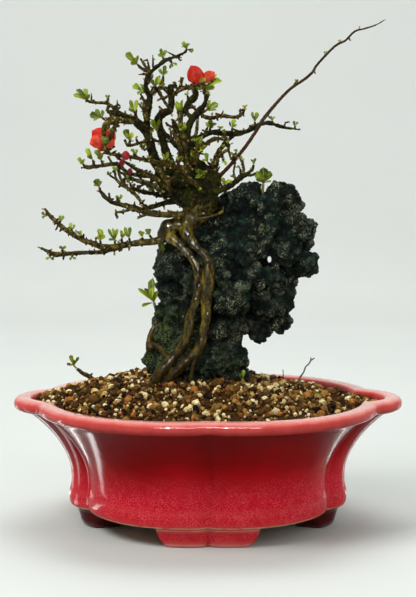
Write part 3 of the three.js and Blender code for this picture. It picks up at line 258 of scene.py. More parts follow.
class Rule(Graph):
    """A Geometry Nodes tree with named inputs, run as a modifier and then turned into a plain mesh."""

    def __init__(self, name: str, **sizes: float) -> None:
        """Starts a tree with one input for the geometry and one for each size.

        Args:
            name: the tree's name.
            sizes: the inputs and what they are set to; a whole number makes a whole-number input.
        """
        super().__init__(bpy.data.node_groups.new(name, "GeometryNodeTree"))
        face = self.tree.interface
        face.new_socket("Geometry", in_out="INPUT", socket_type="NodeSocketGeometry")
        face.new_socket("Geometry", in_out="OUTPUT", socket_type="NodeSocketGeometry")
        self.settings = {}
        for title, value in sizes.items():
            kind = "NodeSocketInt" if isinstance(value, int) else "NodeSocketFloat"
            socket = face.new_socket(title.replace("_", " "), in_out="INPUT", socket_type=kind)
            self.settings[socket.identifier] = value
        self.given = self.node("NodeGroupInput").outputs
        self.result = self.node("NodeGroupOutput").inputs[0]

    def input(self, title: str) -> Socket:
        """One of the tree's own inputs."""
        return self.given[title.replace("_", " ")]

    def named(self, name: str, kind: str = "FLOAT") -> Socket:
        """The values of an attribute."""
        return self.node("GeometryNodeInputNamedAttribute", {"Name": name}, data_type=kind).outputs[0]

    def random(self, low: object, high: object, seed: object, kind: str = "FLOAT") -> Socket:
        """A random value for each element.

        Args:
            low: the least value.
            high: the greatest value.
            seed: what the draw starts from.
            kind: FLOAT, INT or FLOAT_VECTOR.

        Returns:
            The values.
        """
        sort = ("FLOAT_VECTOR", "FLOAT", "INT").index(kind)
        inputs = {"Seed": seed, 2 * sort: low, 2 * sort + 1: high}
        return self.node("FunctionNodeRandomValue", inputs, data_type=kind).outputs[sort]

    def store(self, geometry: object, name: str, value: object) -> Socket:
        """Keeps a value as an attribute of each point."""
        inputs = {"Geometry": geometry, "Name": name, "Value": value}
        return self.node("GeometryNodeStoreNamedAttribute", inputs, domain="POINT").outputs[0]

    def ripples(self, scale: object, detail: float = 3.0) -> Socket:
        """A noise between about -0.5 and 0.5, of so many ripples to the metre."""
        made = self.node("ShaderNodeTexNoise", {"Scale": scale, "Detail": detail})
        return self.minus(made.outputs[0], 0.5)

    def swell(self, geometry: object, height: object) -> Socket:
        """Moves every point along its normal."""
        normal = self.node("GeometryNodeInputNormal").outputs[0]
        return self.moved(geometry, self.scaled(normal, height))

    def moved(self, geometry: object, offset: object) -> Socket:
        """Moves every point by an offset."""
        return self.node("GeometryNodeSetPosition", {"Geometry": geometry, "Offset": offset}).outputs[0]

    def thrown(self, density: object, seed: object) -> bpy.types.bpy_prop_collection:
        """Random points on the given mesh, so many to the square metre, with their rotations."""
        inputs = {"Mesh": self.given[0], "Density": density, "Seed": seed}
        return self.node("GeometryNodeDistributePointsOnFaces", inputs).outputs

    def copies(self, points: object, shapes: Shapes, **inputs: object) -> Socket:
        """Puts a copy of one of several shapes on every point.

        Args:
            points: where the copies go.
            shapes: the shapes to choose from.
            inputs: the rotation, the scale and the instance index, by name, with underscores for spaces.

        Returns:
            The copies.
        """
        bag = self.node("GeometryNodeCollectionInfo", {0: shapes, 1: True, 2: True}).outputs[0]
        given = {title.replace("_", " "): value for title, value in inputs.items()}
        given |= {"Points": points, "Instance": bag, "Pick Instance": True}
        return self.node("GeometryNodeInstanceOnPoints", given).outputs[0]

    def close(self, geometry: object, material: Finish, smooth: bool = True) -> None:
        """Ends the tree: its copies become real and get their material.

        Args:
            geometry: what the tree has made.
            material: the finish.
            smooth: whether it is shaded smoothly, and not in facets.
        """
        for kind, inputs in (("RealizeInstances", {}), ("SetShadeSmooth", {"Shade Smooth": smooth}),
                             ("SetMaterial", {"Material": material})):
            geometry = self.node(f"GeometryNode{kind}", {"Geometry": geometry, **inputs}).outputs[0]
        self.feed(self.result, geometry)

    def run(self, piece: Piece) -> Piece:
        """Runs the tree on a piece and keeps what comes out as its plain mesh.

        Args:
            piece: the object whose mesh the tree reads.

        Returns:
            The same object, with the new mesh and no modifier.
        """
        modified(piece, "NODES", node_group=self.tree)
        for identifier, value in self.settings.items():
            piece.modifiers[0][identifier] = value
        return bake(piece)


def shown(name: str, data: bpy.types.ID) -> Piece:
    """Puts a mesh, a lamp or a camera in the scene.

    Args:
        name: the object's name.
        data: the mesh, the lamp or the camera.

    Returns:
        The object, at the origin.
    """
    made = bpy.data.objects.new(name, data)
    bpy.context.scene.collection.objects.link(made)
    return made


def modified(piece: Piece, kind: str, **settings: object) -> Piece:
    """Adds a modifier.

    Args:
        piece: the object to change.
        kind: the modifier's type.
        settings: the modifier's own properties.

    Returns:
        The same object.
    """
    made = piece.modifiers.new(kind.lower(), kind)
    for key, value in settings.items():
        setattr(made, key, value)
    return piece


def bake(piece: Piece) -> Piece:
    """Turns a piece with its modifiers into a plain mesh.

    Args:
        piece: the object to change.

    Returns:
        The same object, with no modifier.
    """
    seen = piece.evaluated_get(bpy.context.evaluated_depsgraph_get())
    mesh = bpy.data.meshes.new_from_object(seen)
    piece.modifiers.clear()
    old = piece.data
    piece.data = mesh
    bpy.data.meshes.remove(old)
    return piece


def new_object(name: str, points: Sequence, faces: Sequence = (), edges: Sequence = ()) -> Piece:
    """Makes an object of a mesh.

    Args:
        name: the object's name.
        points: where each vertex lies, in metres.
        faces: the vertices of each face.
        edges: the vertices of each loose edge.

    Returns:
        The object.
    """
    mesh = bpy.data.meshes.new(name)
    mesh.from_pydata([tuple(p) for p in points], [tuple(e) for e in edges], [tuple(f) for f in faces])
    mesh.update()
    return shown(name, mesh)


def ball(name: str, subdivisions: int, radius: float = 1.0) -> Piece:
    """A ball of small triangles, its middle at the origin.

    Args:
        name: the object's name.
        subdivisions: 1 for 20 triangles, and four times as many for each one more.
        radius: its radius, in metres.

    Returns:
        The ball.
    """
    made = new_object(name, ())
    work = bmesh.new()
    bmesh.ops.create_icosphere(work, subdivisions=subdivisions, radius=radius)
    work.to_mesh(made.data)
    work.free()
    return made


def paint(piece: Piece, name: str, values: Sequence) -> None:
    """Gives each vertex a value or a vector.

    Args:
        piece: the object.
        name: the attribute's name.
        values: what each vertex gets.
    """
    table = np.array(values, np.float32)
    kind, content = ("FLOAT", "value") if table.ndim == 1 else ("FLOAT_VECTOR", "vector")
    piece.data.attributes.new(name, kind, "POINT").data.foreach_set(content, table.ravel())


def shape_bag(name: str, shapes: Sequence[Piece]) -> Shapes:
    """Takes shapes that are to be copied out of the scene.

    Args:
        name: the name of their collection.
        shapes: the shapes.

    Returns:
        The collection.
    """
    bag = bpy.data.collections.new(name)
    for shape in shapes:
        bpy.context.scene.collection.objects.unlink(shape)
        bag.objects.link(shape)
    return bag


def emptied(bag: Shapes) -> None:
    """Removes a collection and the shapes in it."""
    bpy.data.batch_remove((*bag.objects, bag))


def grid_faces(rows: int, columns: int, closed: bool = False) -> list[tuple[int, int, int, int]]:
    """The four-sided faces of a grid of vertices that are numbered row by row.

    Args:
        rows: how many rows of vertices.
        columns: how many vertices in a row.
        closed: whether each row runs round and joins its own start.

    Returns:
        The faces.
    """
    wide = columns if closed else columns - 1
    sides = [(c, (c + 1) % columns) for c in range(wide)]
    starts = [r * columns for r in range(rows - 1)]
    return [(row + a, row + b, row + columns + b, row + columns + a) for row in starts for a, b in sides]


def joined(name: str, pieces: Sequence[Piece]) -> Piece:
    """Joins pieces into one.

    Args:
        name: the name of the whole.
        pieces: the objects to join.

    Returns:
        The whole, which is the first of them.
    """
    first = pieces[0]
    with bpy.context.temp_override(active_object=first, selected_editable_objects=list(pieces)):
        bpy.ops.object.join()
    first.name = first.data.name = name
    return first


def fused(piece: Piece, voxel: float, smoothing: int) -> Piece:
    """Melts a piece's crossing shells into one skin.

    Args:
        piece: the object to change.
        voxel: the size of the skin's cells, in metres.
        smoothing: how often the skin is smoothed.

    Returns:
        The same object.
    """
    modified(piece, "REMESH", mode="VOXEL", voxel_size=voxel)
    return bake(modified(piece, "SMOOTH", factor=0.5, iterations=smoothing))


def sheet(name: str, points: Sequence, columns: int, closed: bool, skin: Finish | None,
          **values: Sequence[float]) -> Piece:
    """A smooth sheet over rows of points.

    Args:
        name: the object's name.
        points: the points, row by row.
        columns: how many points a row has.
        closed: whether each row runs round and joins its own start.
        skin: the finish, if it has one of its own.
        values: each point's values, by attribute.

    Returns:
        The sheet.
    """
    piece = new_object(name, points, grid_faces(len(points) // columns, columns, closed))
    for title, numbers in values.items():
        paint(piece, title, numbers)
    if skin:
        piece.data.materials.append(skin)
    piece.data.shade_smooth()
    return piece


def area_of(piece: Piece) -> float:
    """A mesh's area, in square metres."""
    return sum(p.area for p in piece.data.polygons)


def settle(piece: Piece, slot: Slot, *nodes: str) -> Piece:
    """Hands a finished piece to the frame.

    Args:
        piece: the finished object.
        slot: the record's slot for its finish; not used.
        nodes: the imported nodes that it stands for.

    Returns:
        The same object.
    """
    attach(piece, "root")
    if nodes:
        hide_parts(*nodes)
    corners = sum(len(p.vertices) - 2 for p in piece.data.polygons)
    log.info("%s: %d triangles", piece.name, corners)
    return piece


def spread(low: float, high: float, count: int) -> list[float]:
    """Evenly spaced values, both ends included."""
    return [low + (high - low) * n / (count - 1) for n in range(count)]


def turns(count: int) -> list[float]:
    """Angles evenly spaced round a full turn."""
    return [2.0 * math.pi * n / count for n in range(count)]


def curve_through(values: Sequence[Sequence[float]], parts: int) -> list[list[float]]:
    """Rows along a Catmull-Rom curve through the given rows.

    Args:
        values: the rows, of any number of columns.
        parts: how many steps each span is cut into.

    Returns:
        The rows along the curve, the given ones included.
    """
    rows = np.array(values, float)
    padded = np.vstack([2 * rows[0] - rows[1], rows, 2 * rows[-1] - rows[-2]])
    found = []
    for k in range(1, len(rows)):
        a, b, c, d = padded[k - 1:k + 3]
        for t in (n / parts for n in range(parts)):
            square = (2 * a - 5 * b + 4 * c - d) * t ** 2
            bend = 2 * b + (c - a) * t + square + (3 * b - a - 3 * c + d) * t ** 3
            found.append((bend / 2).tolist())
    found.append(rows[-1].tolist())
    return found


# Pot


@dataclass(frozen=True)
class Glaze:
    """Crimson glaze: clear high on the wall, where painted shade darkens it under the rim; milky and speckled
    low down; thin and paler over the edges, which also paints a sheen there.
    """

    high: str = "7a0002"
    body: str = "9c020a"
    low: str = "b80f22"
    milky: str = "e8707c"
    edge: str = "bf4440"
    pale_lip_and_sheen: str = "c98a80"
    clay: str = "b48a68"
    painted_foot_shade: str = "1c0a07"

    def material(self) -> Finish:
        """The glaze as a material; reads the attributes thin, bare and shaded.

        Returns:
            The material, thin at 1 where it runs off an edge.
        """
        s = Surface("crimson_glaze")
        height = s.part(s.where, 2)
        # painted shade: the wall's colour darkens with height up to the rim, for the shadow under the lip
        shade = s.plus(height, s.drift(22.0, -0.007, 0.007))
        body = s.ramp(s.remap(shade, 0.015, 0.078), (0.0, self.low), (0.3, self.low),
                      (0.5, self.body), (0.68, self.high), (1.0, "600000"))
        grain = s.remap(s.cells(1150.0), 0.12, 0.5, 1.0, 0.0)
        patches = s.remap(s.noise(150.0, 5.0, 0.65), 0.3, 0.56)
        band = s.times(s.remap(height, 0.05, 0.024), s.remap(height, -0.02, 0.016, 0.6, 1.0))
        mottle = s.times(s.times(grain, patches), s.times(band, 0.7))
        body = s.mix(mottle, body, self.milky)
        thin = s.plus(s.attribute("thin"), s.drift(140.0, -0.05, 0.05))
        # thin glaze turns paler over the edges, and the pale edge and lip colours also paint the sheen and
        # highlights there
        colour = s.mix(s.remap(thin, 0.1, 0.75), body, self.edge)
        colour = s.mix(s.remap(thin, 0.75, 1.05), colour, self.pale_lip_and_sheen)
        bare = s.times(s.attribute("bare"), s.remap(s.noise(200.0), 0.3, 0.5))
        colour = s.mix(bare, colour, self.clay)
        # painted shade: the feet under the ends are coloured nearly black
        colour = s.mix(s.attribute("shaded"), colour, self.painted_foot_shade)
        s.set(Base_Color=colour, Roughness=s.drift(300.0, 0.12, 0.2))
        s.set(Coat_Weight=s.remap(thin, 0.4, 0.9, 0.08, 0.9), Coat_Roughness=0.04, Specular_IOR_Level=0.03)
        ripple = s.bump(s.noise(55.0, 2.0), 0.0009, 0.3)
        s.set(Normal=s.bump(s.noise(1500.0, 2.0), 0.00006, 0.3, ripple))
        return s.material


@dataclass
class Pot:
    """The lobed oval pot: its outline is the union of two end lobes and four side lobes."""

    end_lobe: tuple[float, float, float] = (95.2, 0.0, 34.8)
    side_lobe: tuple[float, float, float] = (19.3, 9.9, 94.1)
    end_notch: float = math.atan2(31.0, 111.0)
    end_steps: int = 14
    side_steps: int = 60
    groove_depth: float = 2.0
    groove_width: float = 0.042
    # the pot's underside is bare clay below this height
    glaze_foot: float = 14.2
    foot_height: float = 13.9
    foot_columns: int = 48
    # a foot's section: height and share of the outline
    foot_section: tuple[tuple[float, float], ...] = (
        (13.9, 0.5), (4, 0.5), (1.2, 0.505), (0, 0.52), (0, 0.638), (0.5, 0.65), (2, 0.657), (5, 0.662),
        (9.5, 0.673), (11.6, 0.681), (13.9, 0.69),
    )
    # each ring: height, share of the outline, how far the lobes are drawn in, how thin the glaze is (thin
    # glaze is painted paler, partly as a painted sheen)
    outside: tuple[Row, ...] = (
        (13, 0.5, 0, 0), (13, 0.692, 0, 0.2), (13.3, 0.704, 0, 0.5), (14.6, 0.7135, 0, 0.4),
        (17.5, 0.7185, 0, 0.2), (20.5, 0.7185, 0, 0.15), (23.5, 0.7165, 0, 0.3), (26.5, 0.7105, 0, 0.15),
        (30.5, 0.7065, 0, 0), (37, 0.7085, 0, 0), (42, 0.716, 0, 0), (49, 0.736, 0, 0), (58, 0.778, 0, 0),
        (66, 0.83, 0, 0), (72.6, 0.885, 0, 0), (76, 0.935, 2, 0), (77.3, 1, 7.2, 0.1), (77.8, 1, 3.6, 0.15),
        (79, 1, 1.2, 0.35), (80.8, 1, 0.2, 0.5), (82.9, 1, 0.1, 0.65), (84.5, 1, 0.7, 0.8),
        (85.8, 1, 2, 0.95), (86.3, 1, 3.8, 1), (86.3, 1, 6.6, 1), (86.2, 1, 9.2, 0.95),
        (85.7, 1, 10.9, 0.9), (84, 1, 11.9, 0.6), (80.5, 0.988, 12, 0.3), (74, 0.9, 9, 0.3),
        (60, 0.792, 9, 0), (44, 0.728, 10, 0), (20, 0.69, 12, 0), (20, 0.5, 12, 0),
    )

    def reach(self, angle: float, inset: float) -> float:
        """How far the outline lies from the middle.

        Args:
            angle: the way it is seen from the middle.
            inset: how far every lobe is drawn in.

        Returns:
            The distance, in millimetres.
        """
        turned = math.atan2(abs(math.sin(angle)), abs(math.cos(angle)))
        best = 0.0
        for x, y, radius in (self.end_lobe, self.side_lobe):
            along = x * math.cos(turned) + y * math.sin(turned)
            across = x * math.sin(turned) - y * math.cos(turned)
            half = (radius - inset) ** 2 - across ** 2
            if half > 0:
                best = max(best, along + math.sqrt(half))
        return best

    def angles(self) -> list[float]:
        """Angles round the pot.

        Returns:
            The angles, with one on every notch.
        """
        rest = math.pi / 2 - self.end_notch
        quarter = [self.end_notch * n / self.end_steps for n in range(self.end_steps)]
        quarter += [self.end_notch + rest * n / self.side_steps for n in range(self.side_steps)]
        mirrored = [0.0] + [math.pi / 2 - a for a in reversed(quarter[1:])]
        return [n * math.pi / 2 + a for n in range(4) for a in (mirrored if n % 2 else quarter)]

    def point(self, angle: float, z: float, share: float, inset: float) -> Vector:
        """A point on the pot's skin."""
        reach = self.reach(angle, inset) * share
        return Vector((reach * math.cos(angle), reach * math.sin(angle), z)) * MM

    def groove(self, angle: float, ring: int, count: int) -> float:
        """How deep the soft groove is that runs down the wall from the notch between two side lobes."""
        off = abs(angle % math.pi - math.pi / 2)
        return self.groove_depth * math.exp(-(off / self.groove_width) ** 2) if ring < 0.55 * count else 0.0

    def shell(self) -> Piece:
        """The pot's body.

        Returns:
            Its skin, from the middle of the underside round to the middle of the floor.
        """
        around = self.angles()
        rings = [self.outside[0], *curve_through(self.outside[1:-1], 3), self.outside[-1]]
        points = [
            self.point(a, z, share, inset + self.groove(a, n, len(rings)))
            for n, (z, share, inset, _) in enumerate(rings) for a in around
        ]
        thin = [t for *_, t in rings for _ in around]
        count = len(around)
        faces = grid_faces(len(rings), count, True)
        last = (len(rings) - 1) * count
        bottom, floor = len(points), len(points) + 1
        points += [Vector((0.0, 0.0, rings[n][0])) * MM for n in (0, -1)]
        thin += [0.0, 0.0]
        faces += [(bottom, (i + 1) % count, i) for i in range(count)]
        faces += [(floor, last + i, last + (i + 1) % count) for i in range(count)]
        made = new_object("pot_shell", points, faces)
        paint(made, "thin", thin)
        paint(made, "bare", [float(p.z < self.glaze_foot * MM) for p in points])
        return made

    def foot(self, name: str, middle: float, spread_top: float, spread_base: float) -> Piece:
        """One foot: a band under the base's outline, with slanting ends and rounded lower corners.

        Args:
            name: the foot's name.
            middle: the angle at which its middle lies.
            spread_top: half the angle that it takes up at the top.
            spread_base: half the angle that it takes up on the table.

        Returns:
            The foot's object.
        """
        columns, size = self.foot_columns, len(self.foot_section)
        points, thin = [], []
        for share in spread(-1.0, 1.0, columns):
            # the lower corners are rounded, and the middle has a small notch
            lift = 3.4 * max(0.0, (abs(share) - 0.9) / 0.1) ** 2 + 0.7 * math.exp(-(share / 0.06) ** 2)
            for z, scale in self.foot_section:
                raised = z + lift * (1.0 - z / self.foot_height)
                wide = spread_base + (spread_top - spread_base) * min(1.0, raised / 9.0)
                angle = middle + share * wide
                points.append(self.point(angle, raised, scale, self.groove(angle, 0, 1)))
                # the glaze is thin on the lower edge and in a band near the top; these paler lines are partly
                # painted highlights
                thin.append(0.9 if raised < 2.2 or 10.5 < raised < 12.5 else 0.25)
        faces = grid_faces(columns, size, True)
        faces += [tuple(reversed(range(size))), tuple(range((columns - 1) * size, columns * size))]
        made = new_object(name, points, faces)
        paint(made, "thin", thin)
        # the sole is bare, and the two feet under the ends get painted shade, a near-black colour
        paint(made, "bare", [float(p.z < 0.3 * MM) for p in points])
        paint(made, "shaded", [0.9 * float(abs(math.cos(middle)) > 0.5)] * len(points))
        return made

    def build(self) -> None:
        """Makes the pot with its four feet."""
        wide, narrow = (0.455, 0.405), (0.29, 0.26)
        feet = [self.foot(f"foot_{n}", n * math.pi / 2, *(wide if n % 2 else narrow)) for n in range(4)]
        pot = joined("glazed_pot", [self.shell(), *feet])
        work = bmesh.new()
        work.from_mesh(pot.data)
        bmesh.ops.recalc_face_normals(work, faces=work.faces)
        work.to_mesh(pot.data)
        work.free()
        pot.data.materials.clear()
        pot.data.materials.append(Glaze().material())
        pot.data.shade_smooth()
        settle(pot, Slot.GLAZE, "pot")


# Soil


@dataclass(frozen=True)
class Granules:
    """Fired clay granules: browns for the most part, with pale pumice and some orange and black."""

    black: str = "120d07"
    dark: str = "2c1b0b"
    brown: str = "5a3d1a"
    tan: str = "8d6b33"
    orange: str = "a2622b"
    straw: str = "c0a15c"
    pumice: str = "ddcd9c"

    def material(self) -> Finish:
        """The granules as a material.

        Returns:
            The material; it reads each grain's own value from the attribute sort.
        """
        s = Surface("clay_granules")
        sort = s.attribute("sort")
        colour = s.ramp(sort, (0.0, self.black), (0.07, self.dark), (0.34, self.brown),
                        (0.58, self.tan), (0.7, self.orange), (0.725, self.brown),
                        (0.82, self.dark), (0.85, self.straw), (0.94, self.pumice))
        stain = s.drift(520.0, 0.45, 1.35, 6.0, 0.65)
        grey = s.node("ShaderNodeCombineXYZ", {0: stain, 1: stain, 2: stain}).outputs[0]
        s.set(Base_Color=s.mix(1.0, colour, grey, "MULTIPLY"), Roughness=s.drift(900.0, 0.45, 0.85),
              Specular_IOR_Level=0.05)
        pores = s.bump(s.cells(1500.0), 0.0002, 0.6)
        s.set(Normal=s.bump(s.noise(2600.0, 4.0), 0.0001, 0.7, pores))
        return s.material


@dataclass
class Soil:
    """The mound of granules in the pot."""

    pot: Pot
    edge: float = 83.0
    rise: float = 17.5
    # the powers that round the mound off at the wall and in the middle
    fall: float = 2.2
    crest: float = 0.9
    inset: float = 10.4
    share: float = 0.97
    # how far the mound lies higher on the left and lower on the right
    lean: tuple[tuple[float, ...], ...] = (
        (-0.09, -0.05, 0.012, 0.04, 0.12), (0.001, 0.0012, 0.0, -0.0042, -0.0036),
    )
    small_grains: int = 3400
    large_grains: int = 1150
    # each kind of grain is a ball with so many flats, cut at this share of its radius
    kinds: int = 6
    flats: int = 6
    cut: float = 0.72
    # the bed's side: height, share of the outline, how far the lobes are drawn in
    wall: tuple[tuple[float, float, float], ...] = (
        (19.8, 0.69, 12.6), (43.4, 0.728, 10.6), (59.4, 0.792, 9.6), (73.4, 0.9, 9.5),
    )

    def height(self, fraction: float) -> float:
        """The mound's height from the wall, at 1, to the middle, at 0."""
        return self.edge + self.rise * (1.0 - fraction ** self.fall) ** self.crest

    def ring(self, fraction: float) -> list[Vector]:
        """One ring of the mound's top.

        Args:
            fraction: how far out it lies, from 0 in the middle to 1 at the wall.

        Returns:
            The ring's points.
        """
        z, share = self.height(fraction), self.share * fraction
        found = [self.pot.point(a, z, share, self.inset) for a in self.pot.angles()]
        for p in found:
            p.z += float(np.interp(p.x, *self.lean))
        return found

    def bed(self) -> Piece:
        """The closed bed under the loose grains.

        Returns:
            The bed.
        """
        around = self.pot.angles()
        count = len(around)
        rings = [[self.pot.point(a, z, share, inset) for a in around] for z, share, inset in self.wall]
        # the bed lies a little under the sheet that carries the grains
        sunk = Vector((0.0, 0.0, 0.9)) * MM
        rings += [[p - sunk for p in self.ring(fraction)] for fraction in spread(0.99, 0.05, 22)]
        faces = [*grid_faces(len(rings), count, True), tuple(reversed(range(count)))]
        faces.append(tuple(range((len(rings) - 1) * count, len(rings) * count)))
        return new_object("soil_bed", sum(rings, []), faces)

    def top(self) -> Piece:
        """The open sheet on which the grains lie."""
        rings = [self.ring(fraction) for fraction in spread(0.985, 0.02, 16)]
        return new_object("soil_top", sum(rings, []), grid_faces(len(rings), len(rings[0]), True))

    def lumps(self, fineness: int) -> Shapes:
        """Rough lumps to copy.

        Args:
            fineness: 1 for lumps of 20 faces, 2 for lumps of 80.

        Returns:
            A collection of them, one of each kind.
        """
        shapes = []
        draw = random.Random(4)
        for n in range(self.kinds):
            shape = ball(f"grain_{n}", fineness)
            ways = [Vector([draw.gauss(0, 1) for _ in range(3)]).normalized() for _ in range(self.flats)]
            for v in shape.data.vertices:
                furthest = max(v.co.dot(way) for way in ways)
                v.co *= min(1.0, self.cut / max(furthest, 0.01)) * draw.uniform(0.86, 1.1)
            shapes.append(shape)
        return shape_bag("grain_shapes", shapes)

    def scatter(self, name: str, count: int, size: tuple[float, float], seed: int, shapes: Shapes,
                material: Finish) -> Piece:
        """Grains over the top, as one plain mesh.

        Args:
            name: the piece's name.
            count: how many grains to throw.
            size: the least and greatest radius, in metres.
            seed: the draw's seed.
            shapes: the grains to copy.
            material: their finish.

        Returns:
            The grains.
        """
        piece = self.top()
        piece.name = name
        rule = Rule(name, Grains=count, Smallest=size[0], Largest=size[1], Seed=seed)
        density = rule.math("DIVIDE", rule.input("Grains"), area_of(piece))
        thrown = rule.thrown(density, rule.input("Seed"))["Points"]
        points = rule.store(thrown, "sort", rule.random(0.0, 1.0, seed + 1))
        fine = rule.math("POWER", rule.random(0.0, 1.0, seed + 2), 2.0)
        radius = rule.remap(fine, 0.0, 1.0, rule.input("Smallest"), rule.input("Largest"))
        turn = rule.random((0.0, 0.0, 0.0), (6.3, 6.3, 6.3), seed + 3, "FLOAT_VECTOR")
        squeeze = rule.random((0.75, 0.75, 0.7), (1.25, 1.1, 1.0), seed + 4, "FLOAT_VECTOR")
        copies = rule.copies(points, shapes, Rotation=turn, Scale=rule.scaled(squeeze, radius))
        up = {"Instances": copies, "Translation": (0.0, 0.0, 0.2 * MM), "Local Space": False}
        lifted = rule.node("GeometryNodeTranslateInstances", up)
        rule.close(lifted.outputs[0], material, smooth=False)
        return rule.run(piece)

    def build(self) -> None:
        """Makes the bed and the loose grains."""
        material = Granules().material()
        bed = self.bed()
        # painted shade: the bed is dark brown, as it is seen only in the shade between the grains
        paint(bed, "sort", [0.12] * len(bed.data.vertices))
        bed.data.materials.append(material)
        bed.data.shade_smooth()
        settle(bed, Slot.SOIL, "soil")
        for name, count, size, seed, fineness in (
            ("small_grains", self.small_grains, (0.8 * MM, 2.0 * MM), 11, 1),
            ("large_grains", self.large_grains, (1.6 * MM, 3.5 * MM), 12, 2),
        ):
            shapes = self.lumps(fineness)
            settle(self.scatter(name, count, size, seed, shapes, material), Slot.SOIL)
            emptied(shapes)


# Rock


@dataclass(frozen=True)
class LavaStone:
    """Dark blue-green lava stone, pitted, with pale mineral specks and green where moss creeps in."""

    dark: str = "020705"
    stone: str = "0c2019"
    dust: str = "3a4c3c"
    pale: str = "b9b38c"
    moss: str = "2c3a12"

    def material(self) -> Finish:
        """The stone as a material.

        Returns:
            The material; it reads the attributes hollow, which is 1 deep in a pit, and green.
        """
        s = Surface("lava_stone")
        grain = s.noise(300.0, 8.0, 0.7)
        colour = s.ramp(s.remap(grain, 0.32, 0.7), (0.0, self.dark), (0.5, self.stone), (1.0, self.dust))
        specks = s.times(s.remap(s.noise(900.0, 4.0), 0.52, 0.66), s.remap(s.noise(75.0, 3.0), 0.46, 0.62))
        specks = s.times(specks, s.remap(s.part(s.where, 0), -0.03, 0.06, 0.55, 1.0))
        colour = s.mix(specks, colour, self.pale)
        crust = s.times(s.remap(s.noise(42.0, 4.0), 0.52, 0.66), s.remap(grain, 0.4, 0.6))
        colour = s.mix(s.times(crust, 0.5), colour, "75745a")
        hollow = s.attribute("hollow")
        # painted shade: deep in the pits the stone turns nearly black; raised parts turn a little lighter
        colour = s.mix(s.times(s.remap(hollow, 0.45, 1.0), 0.95), colour, self.dark)
        colour = s.mix(s.times(s.remap(hollow, 0.35, 0.0), 0.3), colour, self.dust)
        green = s.times(s.attribute("green"), s.remap(s.noise(300.0, 4.0), 0.35, 0.6))
        colour = s.mix(green, colour, self.moss)
        s.set(Base_Color=colour, Roughness=s.remap(grain, 0.3, 0.7, 0.3, 0.7), Specular_IOR_Level=0.07)
        pits = s.bump(s.cells(850.0), 0.0006, 0.9)
        s.set(Normal=s.bump(s.noise(1500.0, 6.0, 0.75), 0.0005, 0.9, pits))
        return s.material


